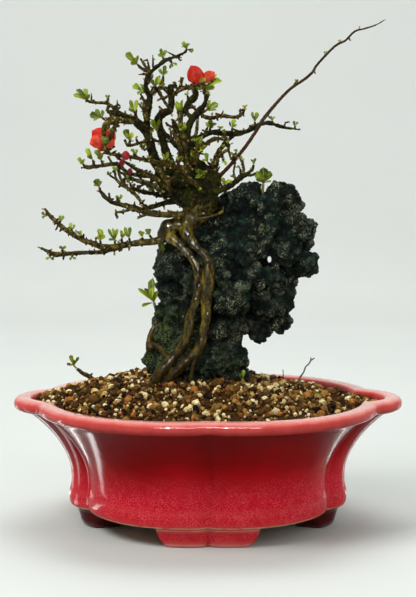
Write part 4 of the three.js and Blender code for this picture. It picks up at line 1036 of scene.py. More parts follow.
@dataclass
class Rock:
    """The rock: round lumps of lava stone melted together, knobby and pitted."""

    middle: Vector = field(default_factory=lambda: place(14, 163, 2))
    voxel: float = 0.84 * MM
    # the core's rays lean towards the rock's middle plane, and it stays this far under the lumps' skin
    lean: float = 0.5
    under: float = 2.5 * MM
    # lumps as (x, z, depth, radius)
    lumps: tuple[Row, ...] = (
        (-23, 172, -6, 13.5), (-26, 182, -2, 6.5), (-24, 158, -4, 11), (-24, 143, -12, 11.5),
        (-26, 127, -10, 11), (-36.5, 109, -8, 7.5), (-22, 109, -14, 11), (-31, 134, 2, 8),
        (-16, 186, -10, 9.5), (-8, 196, -9, 9), (-33, 121, -7, 7.5), (-24, 99, -6, 12.5), (-5, 97, -8, 15),
        (14, 98, -8, 13), (11, 203, -8, 10), (16, 213, -4, 10), (26.5, 218, -2, 11), (49, 219.5, 0, 11),
        (55, 213, 2, 8.5), (39, 212, -10, 9), (26, 196, -14, 10.5), (41, 198, -14, 9.5),
        (57, 199, -9, 10.5), (65, 199, -1, 6.5), (-1, 192, -12, 9), (10, 188, -16, 9.5), (23, 181, -18, 10),
        (37, 186, -17, 8), (52, 183, -13, 10), (65, 175, -4, 10), (2, 175, -17, 10), (12, 168, -20, 9.5),
        (16, 152, -22, 13.5), (31, 166, -20, 9), (42, 165, -15, 8.5), (53, 161, -6, 7.5),
        (-9, 160, -17, 10), (-9, 143, -18, 10), (38, 148, -17, 9.5), (47.5, 147, -6, 8.5),
        (48, 138, -4, 8.5), (34, 131, -7, 9), (20, 134, -14, 9), (5, 131, -19, 9), (-9, 126, -18, 9),
        (15.5, 112, -12, 11.5), (2, 108, -19, 10), (-10, 110, -20, 9), (2, 195, 8, 12), (22, 206, 12, 15),
        (45, 205, 12, 14), (60, 190, 8, 11), (8, 176, 14, 17), (40, 184, 16, 16), (-17, 168, 10, 12),
        (12, 148, 13, 17), (-15, 144, 12, 14), (38, 150, 10, 13), (4, 120, 10, 16), (-22, 118, 8, 12),
        (27, 222, 6, 7), (6, 211, 2, 8.5), (-19, 190, -3, 8.5), (37, 216.5, -5, 7.5), (48.5, 151, -8, 9),
    )
    # the hole's x and z, and half its width and height
    hole: tuple[float, float, float, float] = (40.8, 177.8, 1.3, 2.1)
    # no knob grows nearer than this to the hole's middle, and a little further off they grow freely
    bare_ring: float = 2.6
    ring_fade: float = 3.0
    mossy_spot: Vector = field(default_factory=lambda: place(-26, 120, -18))

    def core(self) -> Piece:
        """The rock's inside.

        Returns:
            A ball drawn out along each ray from the middle, nearly to the furthest lump's far side.
        """
        made = ball("rock_core", 5)
        centres = np.array([place(x, z, d) - self.middle for x, z, d, _ in self.lumps])
        radii = np.array([r for *_, r in self.lumps]) * MM
        rays = np.array([(v.co.x, v.co.y * self.lean, v.co.z) for v in made.data.vertices])
        rays /= np.linalg.norm(rays, axis=1, keepdims=True)
        along = rays @ centres.T
        half = radii ** 2 - ((centres ** 2).sum(1) - along ** 2)
        reach = np.where(half > 0, along + np.sqrt(np.maximum(half, 0.0)), 0.0).max(axis=1) - self.under
        for v, ray, far in zip(made.data.vertices, rays, reach):
            v.co = self.middle + Vector(ray * far)
        return made

    def boulders(self) -> list[Piece]:
        """The lumps of which the rock is made.

        Returns:
            A ball for each.
        """
        made = []
        for n, (x, z, depth, radius) in enumerate(self.lumps):
            made.append(ball(f"lump_{n}", 4, radius * MM))
            made[-1].data.transform(Matrix.Translation(place(x, z, depth)))
        return made

    def uneven(self, rock: Piece) -> Piece:
        """Pushes the melted lumps out of round.

        Args:
            rock: the melted lumps.

        Returns:
            The same object.
        """
        rule = Rule("uneven_lumps", Waves=62.0, Push=9.0 * MM)
        waves = {"Scale": rule.input("Waves"), "Detail": 2.0}
        cloud = rule.node("ShaderNodeTexNoise", waves).outputs["Color"]
        half = (0.5, 0.5, 0.5)
        centred = rule.node("ShaderNodeVectorMath", {0: cloud, 1: half}, operation="SUBTRACT").outputs[0]
        rule.feed(rule.result, rule.moved(rule.given[0], rule.scaled(centred, rule.input("Push"))))
        return rule.run(rock)

    def weather(self, rock: Piece, material: Finish) -> Piece:
        """Knobs, pits and grain, raised from the melted lumps.

        Args:
            rock: the melted lumps, with the attribute calm, which is 0 where nothing may grow.
            material: the stone.

        Returns:
            The rock, with the attribute hollow, which is 1 deep in a pit.
        """
        rule = Rule("weathered_stone", Knobs=150.0, Knob_height=4.2 * MM, Warts=400.0, Wart_height=1.7 * MM,
                    Grain_height=0.9 * MM, Bend=7.0 * MM, Knob_size=0.42)
        here = rule.node("GeometryNodeInputPosition").outputs[0]
        cloud = rule.node("ShaderNodeTexNoise", {"Scale": 120.0, "Detail": 3.0}).outputs["Color"]
        push = rule.scaled(cloud, rule.input("Bend"))
        bent = rule.node("ShaderNodeVectorMath", {0: here, 1: push}, operation="ADD").outputs[0]
        height = rule.times(rule.ripples(520.0, 5.0), rule.input("Grain height"))
        for cells, tall in (("Knobs", "Knob height"), ("Warts", "Wart height")):
            away = rule.node("ShaderNodeTexVoronoi", {"Vector": bent, "Scale": rule.input(cells)}).outputs[0]
            bump = rule.times(rule.minus(rule.input("Knob size"), away), rule.input(tall))
            height = rule.plus(height, bump)
        shaped = rule.swell(rule.given[0], rule.times(height, rule.named("calm")))
        rule.close(rule.store(shaped, "hollow", rule.remap(height, 0.0014, -0.0012)), material)
        return rule.run(rock)

    def calm(self, point: Vector) -> float:
        """How freely knobs may grow, so that none closes the hole.

        Args:
            point: a place on the rock.

        Returns:
            0 in the hole, 1 from a few millimetres off.
        """
        x, z, *_ = self.hole
        away = (point - place(x, z, point.y / MM)).length / MM
        return min(1.0, max(0.0, (away - self.bare_ring) / self.ring_fade))

    def greenness(self, point: Vector, normal: Vector) -> float:
        """How mossy the stone is: most at the foot on the left, and on ledges.

        Args:
            point: a place on the rock.
            normal: the way its face looks.

        Returns:
            From 0 to 1.
        """
        away = (point - self.mossy_spot).length / MM
        foot = max(0.0, 1.0 - (point.z - 96 * MM) / (26 * MM)) * 0.45
        ledge = max(0.0, normal.z) * 0.3 * max(0.0, 1.0 - away / 80)
        return min(1.0, 1.5 * max(0.0, 1.0 - away / 30) + foot + ledge)

    def build(self) -> Piece:
        """Makes the rock, with the small hole right through it.

        Returns:
            The rock.
        """
        lumps = joined("lava_rock", [*self.boulders(), self.core()])
        rock = self.uneven(fused(lumps, self.voxel, smoothing=1))
        x, z, width, height = self.hole
        near, far = place(x, z, -70), place(x, z, 70)
        sides = 24
        ring = [Vector((width * math.cos(a), 0.0, height * math.sin(a))) * MM for a in turns(sides)]
        faces = [*grid_faces(2, sides, True), tuple(reversed(range(sides))), tuple(range(sides, 2 * sides))]
        tool = new_object("drill", [end + off for end in (far, near) for off in ring], faces)
        bake(modified(rock, "BOOLEAN", operation="DIFFERENCE", solver="EXACT", object=tool))
        bpy.data.objects.remove(tool)
        paint(rock, "calm", [self.calm(v.co) for v in rock.data.vertices])
        material = LavaStone().material()
        self.weather(rock, material)
        paint(rock, "green", [self.greenness(v.co, v.normal) for v in rock.data.vertices])
        return settle(rock, Slot.ROCK, "rock")


# Limbs: rows of (x, z, depth, radius) as seen from the front

ROOTS = (
    ((-30, 191, -16, 3.2), (-29.3, 196, -15, 4.2), (-25.5, 199.6, -15, 5), (-20, 200, -15, 5.6),
     (-14.5, 199.4, -15, 5), (-12, 196.5, -17, 3.4)),
    ((-29, 194, -16, 4.6), (-24.6, 192, -19, 4.2), (-20, 188.5, -21, 3.3), (-16, 184.5, -22, 2.7),
     (-12, 180, -23, 2.7), (-8.5, 175.5, -24, 2.9), (-6.5, 169.5, -25, 3.5), (-6, 162, -26, 2.7),
     (-7, 154, -27, 2.7), (-9.5, 146, -27.5, 2.7), (-12, 139, -27.5, 2.9), (-13, 130, -27, 3.4),
     (-15, 124, -27, 3.1), (-19, 117, -26, 3), (-25, 110, -26, 3.3), (-31, 103, -27, 3.7),
     (-36, 96, -28, 3.2), (-40, 86, -29, 2)),
    ((-15, 201, -16, 5), (-14, 195, -20, 4.2), (-11, 190, -22, 3.2), (-7.5, 185.5, -23, 2.9),
     (-3, 181.5, -25, 2.8), (0, 176, -27, 2.8), (0.5, 171, -27, 3.4), (0.8, 165, -26, 4),
     (0.6, 157, -26, 3.3), (0, 149, -26.5, 2.9), (-0.8, 140, -27, 2.7), (-2.5, 132, -27.5, 3),
     (-4, 124, -28, 2.8), (-7, 117, -27.5, 3.3), (-12, 111.5, -28.5, 3), (-18, 106, -29, 3),
     (-23, 101, -29, 3), (-28, 94, -30, 2.6), (-32, 86, -31, 1.8)),
    ((-1.5, 168.5, -25.4, 2.3), (-3, 158, -25.3, 2.4), (-3.2, 148, -26, 2.1), (-2.4, 138, -26.5, 1.9)),
    ((-5, 119, -27, 2), (-8, 113.5, -27.5, 2.2), (-10, 108, -28, 1.8), (-11, 100, -29, 1.5),
     (-12, 90, -29, 1.1)),
    ((-33, 141, -13, 1.5), (-35.5, 134, -13, 1.7), (-38, 128, -14, 1.8), (-39.5, 121, -15, 2.2),
     (-39, 118.3, -17, 2.7), (-36.5, 120, -18, 2.6), (-32, 118, -20, 2.1), (-28, 113, -24, 2),
     (-25, 110.5, -26, 1.8)),
    ((-13, 201.5, -18, 1.3), (-9, 203.8, -20, 1), (-4, 205.2, -21, 0.9), (1, 206.2, -21, 0.9),
     (6, 207.8, -19, 0.9), (9.5, 209.5, -17, 0.9), (10, 212.5, -15, 0.8)),
)

# The short thick trunk and what is left of old cut limbs
TRUNK = (
    ((-16, 200, -15, 4.6), (-10, 206, -14, 7.5), (-5, 213, -12, 10), (-4, 222, -10, 11.5),
     (-4.5, 230, -9, 10.5), (-7, 237, -8, 7.5), (-10, 243, -8, 4.5)),
    ((-10, 212, -12, 5), (-18, 219, -11, 5), (-25, 224, -10, 4), (-29, 230, -9, 3.4)),
    ((-24, 225.5, -12, 3), (-29, 231.5, -14, 2.9), (-33, 237.5, -15, 2.8)),
    ((-2, 221, -20, 2.4), (-6, 226, -21, 2.2), (-10.5, 231.5, -19, 2.2), (-15, 235.5, -16, 2.2)),
    ((2, 226, -14, 6), (4, 232, -15, 5), (5, 236, -15, 3.4)),
    ((-26, 225, -10, 3), (-21, 227.5, -9, 3.4), (-15, 228, -8, 3.5)),
)

BOUGHS = (
    # lowest bough and its two arms
    ((-26, 192, -16, 3.2), (-33, 190.3, -18, 2.5), (-40, 189.3, -20, 2.3), (-48, 188.5, -22, 2.2),
     (-57, 187, -24, 2.1), (-64, 185.4, -26, 2.4), (-71, 186.3, -28, 2), (-76, 188.3, -29, 1.7),
     (-84, 191, -31, 1.7), (-90, 194.7, -32, 1.6), (-96, 198.7, -32, 1.8), (-99.5, 202, -32, 1.5),
     (-103.5, 205.5, -32, 1.5), (-106, 208.5, -32, 1.1), (-108, 211.7, -32, 0.9)),
    ((-61, 185.6, -25, 1.9), (-70, 182.8, -24, 1.5), (-80, 182.3, -22, 1.4), (-88, 182, -21, 1.5),
     (-94, 181.4, -20, 1.4), (-100, 181, -19, 1.9), (-104.5, 182.2, -19, 1.3), (-110.8, 185.3, -19, 0.8)),
    # two boughs that leave the trunk low on the left
    ((-9, 209, -15, 3), (-18, 207.8, -19, 2.4), (-28, 207.4, -22, 2.1), (-38, 208.4, -24, 2.2),
     (-45, 210.5, -25, 2), (-52, 212.8, -26, 1.7), (-59, 214.3, -27, 1.5), (-65, 216.5, -28, 1.5),
     (-69, 220, -28, 1.3), (-71.5, 224, -28, 1)),
    ((-50, 211.5, -26, 1.1), (-56, 209.6, -27, 0.9), (-60.8, 208.6, -28, 0.9), (-60, 205.4, -28, 0.8)),
    ((-36, 208.4, -24, 1.1), (-42, 207.2, -26, 1), (-46.5, 205.4, -27, 0.9)),
    ((-14, 216.5, -9, 2.4), (-25, 216, -6, 2), (-33, 213.8, -8, 1.7), (-41, 211.4, -14, 1.5),
     (-44, 210.4, -22, 1.3)),
    ((-20, 221, -12, 2.6), (-29, 220.6, -12, 2), (-36, 221.4, -12, 1.7), (-42, 222.3, -14, 1.5),
     (-48, 224.2, -16, 1.2), (-51, 226, -17, 1)),
    # arching twig that hangs before them
    ((-40, 208.8, -24, 1.1), (-43, 213.7, -24, 1.1), (-46.5, 219, -24, 1.2), (-52, 224.2, -24, 1.3),
     (-57.2, 227.4, -24, 1.2), (-60.6, 231, -24, 1), (-61.4, 235, -24, 0.8)),
    ((-53, 224.9, -24, 1), (-57, 229.9, -23, 0.9), (-58.8, 234.5, -22, 1), (-59.4, 239, -22, 1),
     (-59.4, 242, -22, 1)),
    # middle left twig
    ((-26, 226.5, -10, 2.2), (-36, 232.6, -14, 1.8), (-45, 233.5, -18, 1.5), (-53, 235, -20, 1.3),
     (-58.5, 240, -22, 1.3), (-63, 240.9, -24, 1.3), (-72, 239.5, -26, 1.2), (-78.5, 238.7, -28, 1.4),
     (-82, 239, -29, 0.9)),
    # twig that carries the left flower
    ((-10, 236.5, -15, 2.2), (-18, 238.4, -18, 1.9), (-27, 240, -22, 1.6), (-36, 242.4, -26, 1.5),
     (-45, 244.3, -29, 1.3), (-55, 246.4, -31, 1.2), (-64, 247.5, -33, 1.1), (-67.6, 249, -33.5, 1),
     (-68.8, 252.4, -34, 0.9)),
    # first stem and its boughs
    ((-14, 229, -4, 5), (-27, 236, -1, 4.2), (-34, 242, 1, 3.6), (-37, 250, 2, 3.2), (-39, 258, 2, 2.9),
     (-43, 264.5, 2, 2.9), (-48.5, 269.3, 2, 2.6), (-55, 272.3, 3, 2.1), (-62, 274.4, 4, 2),
     (-66.5, 275.3, 5, 1.4)),
    ((-60.5, 274.5, 4, 1.3), (-63, 278.6, 5, 1.1), (-67, 280.6, 6, 1), (-73, 281.1, 7, 1),
     (-78, 281.5, 8, 0.9)),
    ((-49, 268.5, 1, 1.9), (-56, 269, -5, 1.9), (-63, 270.2, -12, 2.2), (-66.5, 267.8, -20, 2),
     (-65.7, 262, -28, 1.9), (-66, 257.6, -32.5, 1.3)),
    ((-40, 269, 2, 1.9), (-41.5, 275, 3, 1.9), (-41.3, 281.3, 3, 1.8)),
    ((-38.5, 256.5, 1, 1.3), (-46, 254.4, -4, 1), (-52.5, 253, -8, 1), (-55, 257, -9, 0.8)),
    # leader
    ((-40, 261, 3, 2.4), (-40, 270, 6, 2.2), (-38.7, 279, 8, 2.1), (-38.2, 285, 9, 2.1),
     (-40.6, 290, 10, 1.8), (-40.6, 295, 11, 1.6), (-37.8, 300, 12, 1.8), (-34, 304, 13, 1.6),
     (-28, 308.3, 14, 1.3), (-21, 311, 15, 1), (-14.5, 314, 16, 0.8)),
    ((-37.6, 301.5, 12, 1.5), (-41.5, 302.2, 11, 1.3), (-45, 304.5, 10, 1.1)),
    ((-38, 285.5, 9, 1.5), (-33.6, 289.2, 12, 1.3), (-30.6, 292.6, 15, 1.2), (-29.3, 297, 17, 0.9)),
    ((-33.5, 289.5, 12, 1.1), (-27, 290.8, 12, 0.9), (-25, 286, 12, 0.8)),
    ((-39, 302, 12, 1), (-42, 306, 13, 0.9), (-44.2, 309.7, 13, 0.7)),
    # second stem, bent over and cut
    ((-22, 236, -2, 3.4), (-27, 246, 6, 3), (-29.5, 256, 10, 2.7), (-31.2, 264, 12, 2.6),
     (-32.6, 270.5, 12, 2.9), (-29, 274.6, 12, 2.8), (-24.5, 276, 12, 2.3), (-23.9, 284, 12, 2.1),
     (-24.3, 293, 12, 2.1)),
    ((-23, 270, 4, 1.6), (-21, 264, 0, 2), (-18, 255, -4, 2.6), (-14, 243, -7, 3.4)),
    ((-25, 277, 11, 1.2), (-29.5, 283, 12, 1), (-32, 287.6, 12, 1.3)),
    # twig that carries the right flower
    ((-23.8, 285.5, 12, 1.4), (-19.3, 288.7, 8, 1.3), (-14, 290.6, 3, 1.2), (-8, 290.5, -2, 1.2),
     (-4.5, 291.4, -4, 1)),
    ((-19.3, 289, 8, 0.9), (-17.8, 293.4, 8, 0.9), (-16.9, 297.6, 8, 1.5)),
    # third stem and what it carries
    ((-8, 238, -8, 4), (-11.5, 247, -9, 3), (-13.5, 256, -9, 2.6), (-12.8, 265, -9, 2.4),
     (-9, 272, -9, 2.2), (-5, 276.5, -9, 2.1), (-2, 280.5, -9, 1.7), (-1.2, 286.5, -8, 1.2)),
    ((-10, 270.5, -9, 1.6), (-15, 276, -6, 1.8), (-12, 281.5, -3, 2.2), (-8.4, 285.5, 0, 2.4),
     (-8, 289.3, -1, 2)),
    ((-4, 272.5, -9, 1.5), (2, 271, -12, 1.3), (9, 272.5, -15, 1.2), (17, 271.6, -18, 1.2),
     (21.5, 273, -20, 1.1), (23.8, 276.4, -21, 0.9)),
    # right bough
    ((-13.4, 251, -9, 2.4), (-9, 254.6, -8, 2.3), (-3, 259.5, -6, 2.2), (3, 261.6, -4, 2),
     (10, 261, -2, 1.9), (18, 260.6, 0, 1.9), (26, 262.8, 3, 1.8), (33, 266.3, 6, 1.7), (39, 268, 8, 1.5),
     (46, 266.2, 10, 1.3), (54, 264.2, 12, 1.1), (61, 263.5, 14, 0.9)),
    ((-8, 247, -10, 2), (-3, 252.4, -14, 1.6), (2.5, 256.6, -17, 1.5), (7, 257.6, -19, 1.3),
     (12, 256.6, -20, 0.9)),
    ((0, 236, -14, 2), (4, 242, -17, 1.4), (9, 247.6, -20, 1.1), (13.2, 249.8, -22, 0.9),
     (15.2, 243.6, -23, 0.7)),
    # low bough that lies over the rock's top
    ((3, 222, -16, 2.4), (10, 224.3, -20, 2), (16, 227.6, -20, 1.8), (20.5, 231.3, -20, 1.7),
     (25, 234, -20, 1.6), (28.6, 236.6, -20, 1.2), (30, 240, -20, 0.8)),
    ((22, 232, -20, 1.2), (23.6, 237, -20, 1), (22.8, 242.3, -20, 0.8)),
    ((18.4, 230, -20, 0.9), (17, 235.5, -21, 0.7), (17.8, 241, -21, 0.6)),
    ((24.6, 233.5, -20, 1), (29, 233.6, -19, 0.9), (31.4, 235, -18, 0.7)),
)

BACK_BOUGHS = (
    ((-4, 226, 0, 4), (-8, 236, 10, 3), (-14, 246, 20, 2.2), (-22, 254, 29, 1.8), (-29, 262, 36, 1.3),
     (-33, 270, 40, 0.9)),
    ((0, 224, 0, 3.4), (4, 238, 10, 2.4), (7, 249, 19, 1.8), (13, 256, 27, 1.4), (20, 262, 34, 1)),
    ((-9, 222, -8, 3.6), (-16, 222.6, -2, 3), (-28, 225, 10, 2.2), (-40, 228, 20, 1.7), (-52, 232, 27, 1.3),
     (-60, 237, 32, 0.9)),
    ((-14.4, 246.6, 20.4, 1.8), (-11, 252, 21, 1.6), (-8, 260, 24, 1.3), (-7, 270, 29, 1),
     (-9, 279, 32, 0.8)),
    ((-24, 256, 30, 1.2), (-34, 256, 34, 1), (-42, 259, 36, 0.8)),
)

# Thorns and stubs: (x, z, depth) of the foot, then of the tip, and the foot's radius
THORNS = (
    (-40, 299.6, 11, -45.8, 299.4, 10, 0.9), (-36, 304, 12, -36.2, 312.2, 12, 0.8),
    (-21, 311, 15, -27, 314.3, 15, 0.8), (-76.6, 281.2, 8, -76.6, 287.4, 8, 0.8),
    (-38.6, 303, 12, -39.8, 309.4, 12, 1), (-63, 248, -33, -60, 249.8, -34, 0.9),
    (-54, 271, 3, -54.6, 276, 3, 1.1), (-49, 211, -25, -48.5, 216.4, -26, 1),
    (-52, 188, -23, -52.6, 183.4, -23, 1.1), (-43, 189, -21, -44, 186, -21, 1.3),
    (-99, 201, -32, -101, 197, -33, 1), (-80, 189, -30, -80.8, 192.8, -31, 0.9),
    (-60, 273.8, 4, -59.6, 283.2, 4, 1), (12.6, 249.5, -22, 13.6, 255, -23, 0.7),
    (-29, 227, -13, -33, 224, -14, 0.9), (4, 234, -15, 8, 239.4, -17, 1.5),
    (9, 272.4, -15, 10, 276, -16, 0.9), (50, 265, 11, 51, 268.4, 11, 0.8),
    (-12, 257, -10, -8, 260.6, -13, 1), (-20, 311, 15, -18, 308, 15, 0.8),
    (-57, 246.6, -31, -60, 244, -33, 0.8), (69.4, 302, -12, 70.6, 299.6, -13, 0.8),
    (92, 323.4, -6, 93.4, 321.2, -6, 0.7), (39, 273.4, -19, 41, 270.6, -20, 0.7),
)

SUCKER_STEM = (
    (-72, 88, 6, 1.5), (-76, 96, 6, 1.6), (-80, 99.4, 6, 1.5), (-84, 101.4, 6, 1.4), (-87.6, 104.4, 6, 1.1),
)

DEAD_TWIG = (
    (58, 86, 4, 0.7), (61, 97, 4, 0.6), (64, 102, 4, 0.55), (65.3, 105.6, 4, 0.5), (67.4, 107.6, 4, 0.5),
    (68.8, 110, 4, 0.5), (71.4, 111.6, 4, 0.35),
)

DEAD_TWIG_FORK = ((68.6, 109.6, 4, 0.4), (68.9, 112.4, 4, 0.3))

DEAD_BLADE = ((54.5, 88, 6, 0.5), (52.4, 95.4, 6, 0.4), (50.6, 99, 6, 0.35), (50.2, 104, 6, 0.25))

# Leaves: `(x, z, depth)` where a spur leaves its bough, the same of its end, and each leaf's tip
# with its width
LEAFY_SPURS: dict[str, tuple] = {
    "lowest_bough_1": ((-71, 186.3, -28), (-71.5, 190.5, -28), ((-73, 199.5, -29, 4.6),
     (-67.8, 194.6, -30, 3.2), (-74, 193.6, -25, 2.4))),
    "lowest_bough_2": ((-61.5, 186.3, -25), (-61.8, 190, -26), ((-66.8, 199.8, -27, 2.6),
     (-63.6, 200, -25, 2.6), (-59.6, 199.6, -26, 2.8))),
    "lowest_bough_3": ((-57, 187.2, -24), (-57.3, 191.5, -27), ((-58, 198.2, -29, 3),
     (-55.5, 195, -29, 2))),
    "lowest_bough_4": ((-51.5, 188, -23), (-52.3, 192, -22), ((-55.8, 200.6, -22, 2.8),
     (-51.6, 200.6, -21, 2.6), (-56.4, 196, -20, 2))),
    "lowest_bough_5": ((-43, 189.3, -21), (-43.6, 192.5, -21), ((-45.8, 197.6, -21, 2.8),
     (-42.6, 197, -19, 2))),
    "lowest_bough_6": ((-36, 190, -19), (-38.8, 193.8, -19), ((-41.8, 198.8, -19, 3),
     (-39, 199, -17, 2.2))),
    "high_arm_tip": ((-106.4, 209, -32), (-107.6, 206.6, -34), ((-110.6, 209.6, -36, 2.4),
     (-110.4, 205, -35, 2))),
    "high_arm_2": ((-99, 201.8, -32), (-97.4, 203.6, -33), ((-95, 207.2, -34, 2.6),
     (-98.4, 207.6, -33, 2))),
    "high_arm_3": ((-90, 194.7, -32), (-90, 197.4, -32), ((-91.6, 203, -32, 2.6),
     (-88.2, 201.6, -31, 1.9))),
    "low_arm_1": ((-104, 182, -19), (-105, 179.6, -20), ((-108.4, 177.6, -21, 2.4), (-102, 177, -21, 2))),
    "low_arm_3": ((-96, 181.2, -20), (-96.4, 184, -20), ((-99, 187, -20, 2.4), (-94, 187.2, -20, 2.2))),
    "lower_bough_tip": ((-71.2, 223.6, -28), (-72, 225.6, -28), ((-74.6, 232, -28, 5.2),
     (-76, 227.6, -27, 3.4), (-71, 230.6, -26, 3))),
    "middle_bough_1": ((-36, 221.4, -12), (-36, 224, -14), ((-41.8, 226.8, -16, 4),
     (-35.6, 228.6, -16, 3))),
    "middle_bough_2": ((-50.6, 225.4, -17), (-51.6, 228.4, -18), ((-54, 232.6, -19, 2.8),
     (-49, 229.6, -20, 2))),
    "left_twig_tip": ((-81, 239, -29), (-82.6, 240.8, -29), ((-86, 246, -29, 3.2), (-84.6, 241, -30, 2),
     (-81.4, 245, -28, 2))),
    "left_twig_2": ((-69, 239.9, -26), (-70.4, 243.4, -26), ((-75.6, 250.8, -26, 4.4),
     (-70.8, 249, -25, 3))),
    "left_twig_3": ((-75, 239.1, -27), (-76, 243.6, -28), ((-80.8, 252.6, -28, 3.8),
     (-79.4, 246.6, -28, 2.4))),
    "first_stem_tip": ((-77.6, 281.5, 8), (-79.8, 282.6, 8), ((-89.8, 286.8, 8, 4.6), (-88, 290.4, 9, 3.6),
     (-81.6, 291.4, 10, 3.4), (-77, 287.4, 4, 2))),
    "hook_bough": ((-66.8, 269.6, -16), (-69.6, 271, -17), ((-79.2, 273.8, -17, 4.8),
     (-74.6, 277.8, -18, 3.6), (-69, 277.2, -18, 3))),
    "stem_fork": ((-45.6, 267, 2), (-47.6, 274.2, 2), ((-52, 284.4, 2, 3.8), (-46.8, 284.4, 3, 3.4),
     (-52.6, 277.6, 0, 2.2))),
    "first_stem_1": ((-51.4, 253.2, -8), (-51.8, 256, -9), ((-55.4, 265, -9, 4.6),
     (-49.4, 262.6, -10, 3.6))),
    "first_stem_2": ((-38.6, 252, 0), (-42, 250, -6), ((-45.4, 254.6, -12, 3), (-41.6, 255.4, -11, 2.6))),
    "leader_1": ((-40, 287.6, 9), (-43.4, 288.6, 8), ((-50.6, 293, 8, 4.8), (-46.4, 285.4, 8, 2.4))),
    "leader_2": ((-34.6, 288.4, 11), (-35, 291.4, 9), ((-31.6, 299.4, 7, 4.6), (-37.6, 297, 6, 3))),
    "leader_3": ((-29.6, 296, 17), (-29.4, 298.6, 17), ((-28, 306.6, 18, 3.2), (-32.8, 303.6, 18, 2.6))),
    "crown_left": ((-44.4, 304.2, 10), (-46.4, 306, 10), ((-55, 314.6, 10, 4.6), (-51.6, 307.2, 8, 3),
     (-46, 313, 9, 2.6))),
    "crown_middle": ((-28.4, 308.2, 14), (-29.6, 310.6, 13), ((-31.4, 317.4, 12, 3), (-26.6, 316, 12, 2.8),
     (-33.6, 312.6, 11, 2.4))),
    "crown_right": ((-25.4, 309, 14.5), (-23.6, 306.8, 12), ((-19.8, 305, 10, 2.8),
     (-25.6, 302.8, 10, 2.4))),
    "crown_tip": ((-15, 313.8, 16), (-13.8, 316, 16), ((-17, 321.6, 16, 3.6), (-8.8, 314.4, 15, 3.4),
     (-11.6, 320, 17, 3))),
    "second_stem_1": ((-29, 256, 10), (-33.4, 261.6, 4), ((-37.8, 271.6, 0, 4.2), (-32, 271.4, 0, 3.6))),
    "second_stem_2": ((-20.6, 263, 0), (-18, 270.6, -4), ((-21.4, 284, -5, 4.4), (-16.4, 285.4, -6, 4),
     (-12.6, 280.4, -7, 3.2))),
    "right_flower": ((-4.8, 291.2, -4), (-2.4, 289.6, -3), ((10.8, 296.4, -1, 5), (7, 301.6, 2, 3.6),
     (0.6, 284.6, -5, 2.2))),
    "third_stem_1": ((-4, 274.4, -9), (-1, 276.2, -12), ((8.2, 281, -14, 5), (2, 284, -13, 3.6),
     (6.8, 276.2, -14, 2.4))),
    "third_stem_2": ((-12.6, 250, -9), (-8.4, 248.4, -14), ((-2.6, 261.6, -19, 4.2), (-6, 255.6, -18, 3.6),
     (0.6, 253.6, -19, 3), (-12, 243.6, -18, 3.6))),
    "third_stem_3": ((-13, 262, -9), (-16, 262.4, -13), ((-20.4, 268.4, -15, 3.4),
     (-16.4, 268.8, -16, 2.6))),
    "right_bough_1": ((1, 261, -4.6), (1.4, 264.2, -7), ((1.6, 271, -9, 4), (6.6, 268, -9, 2.8),
     (-2.6, 268.6, -9, 2.4))),
    "right_bough_2": ((15.6, 260.8, -1), (16, 264.4, -2), ((18, 271.6, -2, 3.4), (13.6, 269.6, -3, 2.6))),
    "right_bough_3": ((31, 265.4, 5), (30.8, 268.6, 5), ((32.6, 276, 5, 3.2), (28.4, 276.4, 5, 2.8))),
    "trunk_face": ((-5, 231, -16), (-5.6, 232.6, -21), ((-6.6, 238.6, -25, 4.6), (-1.6, 237, -26, 3.8),
     (-9, 231.6, -26, 2.6))),
    "rock_top_bough": ((10.6, 224.6, -20), (11, 227.4, -22), ((9.6, 233, -24, 2.8), (15.4, 230.8, -24, 3))),
}

# The long young shoot that rises to the right
LONG_SHOOT = (
    (5, 229, -15, 2.2), (8.3, 233.5, -17, 1.7), (14.6, 240, -19, 1.5), (24.5, 252, -20, 1.45),
    (32, 263, -20, 1.4), (36, 269.7, -20, 1.45), (44.6, 280.3, -18, 1.3), (54, 290, -16, 1.2),
    (62.9, 296, -14, 1.15), (68.6, 301, -12, 1.1), (72, 306.3, -11, 1), (82.8, 317.5, -8, 0.95),
    (90, 321.5, -6, 0.9), (96, 327.3, -4, 0.8), (103, 329.3, -2, 0.65), (110, 331.6, 0, 0.5),
    (116, 335, 1, 0.3),
)

# What hooks down before the left flower
HOOKS = (
    ((-60, 267.5, -33, 1.8), (-64, 268.5, -36, 2), (-67.6, 266, -38, 1.9), (-68.6, 262.4, -38.5, 1.6),
     (-68.2, 259.6, -37.5, 1.2)),
    ((-61, 266, -35, 1.6), (-62.8, 262.5, -37, 1.5), (-63, 259.4, -37, 1.1), (-64.6, 257.4, -36.5, 0.8)),
    ((-60.6, 266, -35, 1.1), (-58.4, 265.6, -36, 0.8)),
    # runs across the foot of the right flower
    ((-10.5, 290.6, -12, 1.1), (-5.9, 292.9, -15, 1), (-1.3, 293.2, -16, 1), (2, 294.5, -15, 0.8),
     (4.9, 296.5, -14, 0.5)),
    ((-2.6, 287, -8, 1.2), (-2.4, 290, -14, 1.1), (-3.6, 293.2, -16, 1)),
)

